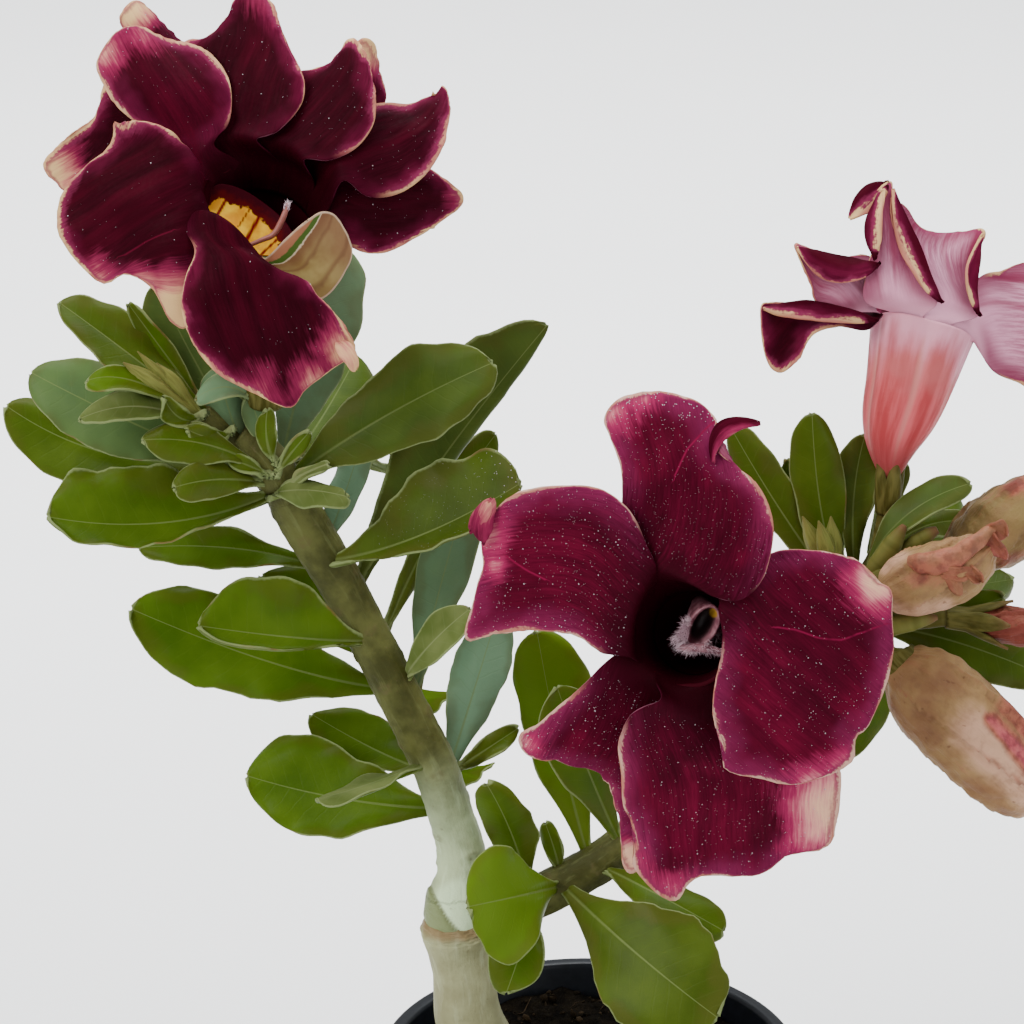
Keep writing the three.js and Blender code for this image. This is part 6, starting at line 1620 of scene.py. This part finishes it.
def bud_piece(name, bud):
    spine = smooth(seen(bud["spine"]))
    profile = profile_through(bud.get("stations", BUD_STATIONS))

    def furled(share, angle):
        return 1 + 0.09 * (furling(share, angle, BUD_WIND) - 0.5) * ease(0.1, 0.4, share) * 1.6

    made = stirred(limb(spine, lambda s: bud["radius"] * profile(s), BUD_ROWS, BUD_SIDES, furled), 61, 0.25, 6.0)
    share, angle = made["values"]["share"], made["values"]["angle"]
    green = bud["green"] * ease(1.0, 0.3, share) if bud["green"] < 0.5 else bud["green"]
    seams = 0.45 * ease(0.86, 1.0, furling(share, angle, BUD_WIND))
    wearing(made, green=green, flush=np.maximum(stained(made["points"], bud["flushed"]), seams),
            pale=stained(made["points"], bud.get("pale", [])), across=angle * bud["radius"] + 9 * share,
            tone=bud.get("tone", 0.0))
    folds = [stirred(placed_limb(places, rows=40, sides=28, flush=flush), 65, 0.2, 4.0)
             for places, flush in bud.get("folds", [])]
    scraps = [scrap(*spec) for spec in bud.get("scraps", [])]
    piece(name + "_furled", [made] + folds + scraps, [BUD], node=name)
    calyx = calyx_shapes(bud["stalk"], spine, 0.42 * bud["radius"], bud["lobes"], seed=len(name))
    piece(name + "_sepals", calyx, [CALYX], node=name + "_calyx")


for name, bud in BUDS.items():
    bud_piece(name, bud)

CLUSTER_ROWS = 44
CLUSTER_WIND = 0.6
CLUSTER_STATIONS = [(0, 0.6), (0.3, 0.7), (0.68, 1), (1, 0.1)]
CLUSTERS = {
    "bud_cluster_left": dict(foot=[-56, 17, 3], pale=0.8, radii=[1.6, 1.0, 1.5],
                             tips=[[-70, 26.9, 6], [-67.4, 28.9, 4], [-64, 26.8, 3]]),
    "bud_cluster_right": dict(foot=[58.5, -14.5, -7.5], pale=0.85, radii=[1.6, 1.6, 1.6],
                              tips=[[52.3, -0.8, -7], [55.2, -1.6, -5], [57.4, -0.8, -8]]),
}


def cluster_piece(name, cluster):
    profile = profile_through(CLUSTER_STATIONS, 90)
    shapes = []
    for k, (tip, radius) in enumerate(zip(cluster["tips"], cluster["radii"])):
        def scaled(share, angle, turn=0.3 * k):
            return 1 + 0.16 * (furling(share, angle, CLUSTER_WIND, turn) - 0.5) * ease(0.15, 0.5, share)

        spine = smooth(seen([cluster["foot"], tip]))
        made = limb(spine, lambda s, widest=radius: widest * profile(s), CLUSTER_ROWS, CLUSTER_ROWS, scaled)
        share, angle = made["values"]["share"], made["values"]["angle"]
        shapes.append(wearing(made, across=angle * radius, pale=cluster["pale"], share=0.72 * share))
    piece(name + "_scales", shapes, [CALYX], node=name)


for name, cluster in CLUSTERS.items():
    cluster_piece(name, cluster)


# Dew: low drops, each a small dome, on the flowers and on one leaf. The drops are given a milky pale colour as a
# painted highlight.
DROP_SIDES = 5
DROP_TOP = math.pi / 3


def dew_piece(name, wet, count, seed):
    random = np.random.default_rng(seed)
    angles = full_turn(DROP_SIDES)[None]
    shapes = []
    for k, part in enumerate(wet):
        keep = (part["values"]["side"] > 0.5) & (part["values"]["share"] > 0.25)
        places, normals, _ = scatter(seed + k, part, count, keep)
        sizes = 0.04 + 0.1 * random.uniform(size=count) ** 7
        first, second = crossing(normals)
        rings = []
        for level in (0.0, DROP_TOP):
            out, up = math.cos(level) * 0.999 + 0.001, 0.75 * math.sin(level)
            rings.append(places[:, None] + sizes[:, None, None] * (
                out * around(angles, first[:, None], second[:, None]) + up * normals[:, None]))
        shapes += [body(drop) for drop in np.stack(rings, axis=1)]
    piece(name, shapes, [DEW_PAINTED_WHITE])


dew_piece("dew_on_flower_2", PETALS["flower_2"], count=720, seed=900)
dew_piece("dew_on_flower_1", PETALS["flower_1"], count=60, seed=950)
dew_piece("dew_on_leaf", [leaf_of(SINGLE_LEAVES["leaf_right_wavy"])], count=150, seed=980)

# Stage, lights and camera
bpy.ops.mesh.primitive_plane_add(size=6.0, location=(0, 0, 0))
ground = bpy.context.object
ground.name = "floor"
ground.data.materials.append(FLOOR)


def area_light(name, place, target, size, watts, colour=(1.0, 1.0, 1.0)):
    light = bpy.data.lights.new(name, "AREA")
    light.shape, light.size, light.energy, light.color = "SQUARE", size, watts, colour
    made = bpy.data.objects.new(name, light)
    made.location = place
    way = np.subtract(target, place)
    yaw, pitch = math.atan2(way[0], -way[1]), math.atan2(math.hypot(way[0], way[1]), -way[2])
    made.rotation_euler = (pitch, 0, yaw + math.pi)
    bpy.context.scene.collection.objects.link(made)


PLANT_MIDDLE = (0.0, 0.0, 0.17)
FAR_FLOOR = (0.0, 3.1, 0.0)
SKY_STRENGTH = 0.7
area_light("window", (-0.9, -0.7, 1.1), PLANT_MIDDLE, size=0.9, watts=21.0, colour=(1.0, 0.98, 0.95))
area_light("sky", (0.2, 0.5, 1.3), PLANT_MIDDLE, size=1.2, watts=15.0, colour=(0.9, 0.96, 1.0))
area_light("fill", (1.1, -0.9, 0.5), PLANT_MIDDLE, size=1.0, watts=7.0)
area_light("backdrop", (0.0, 0.35, 1.3), FAR_FLOOR, size=1.2, watts=60.0)
world = bpy.data.worlds.new("studio")
world.use_nodes = True
world.node_tree.nodes["Background"].inputs["Color"].default_value = (0.95, 0.97, 1.0, 1.0)
world.node_tree.nodes["Background"].inputs["Strength"].default_value = SKY_STRENGTH
bpy.context.scene.world = world

camera = bpy.data.cameras.new("camera")
camera.sensor_width = SENSOR_WIDTH
camera.lens = SENSOR_WIDTH * EYE_DISTANCE / VIEW_WIDTH
camera.clip_start, camera.clip_end = 0.01, 20.0
viewer = bpy.data.objects.new("camera", camera)
viewer.location = EYE * MM
viewer.rotation_euler = (math.pi / 2 - LOOKING_DOWN, 0, 0)
bpy.context.scene.collection.objects.link(viewer)
bpy.context.scene.camera = viewer
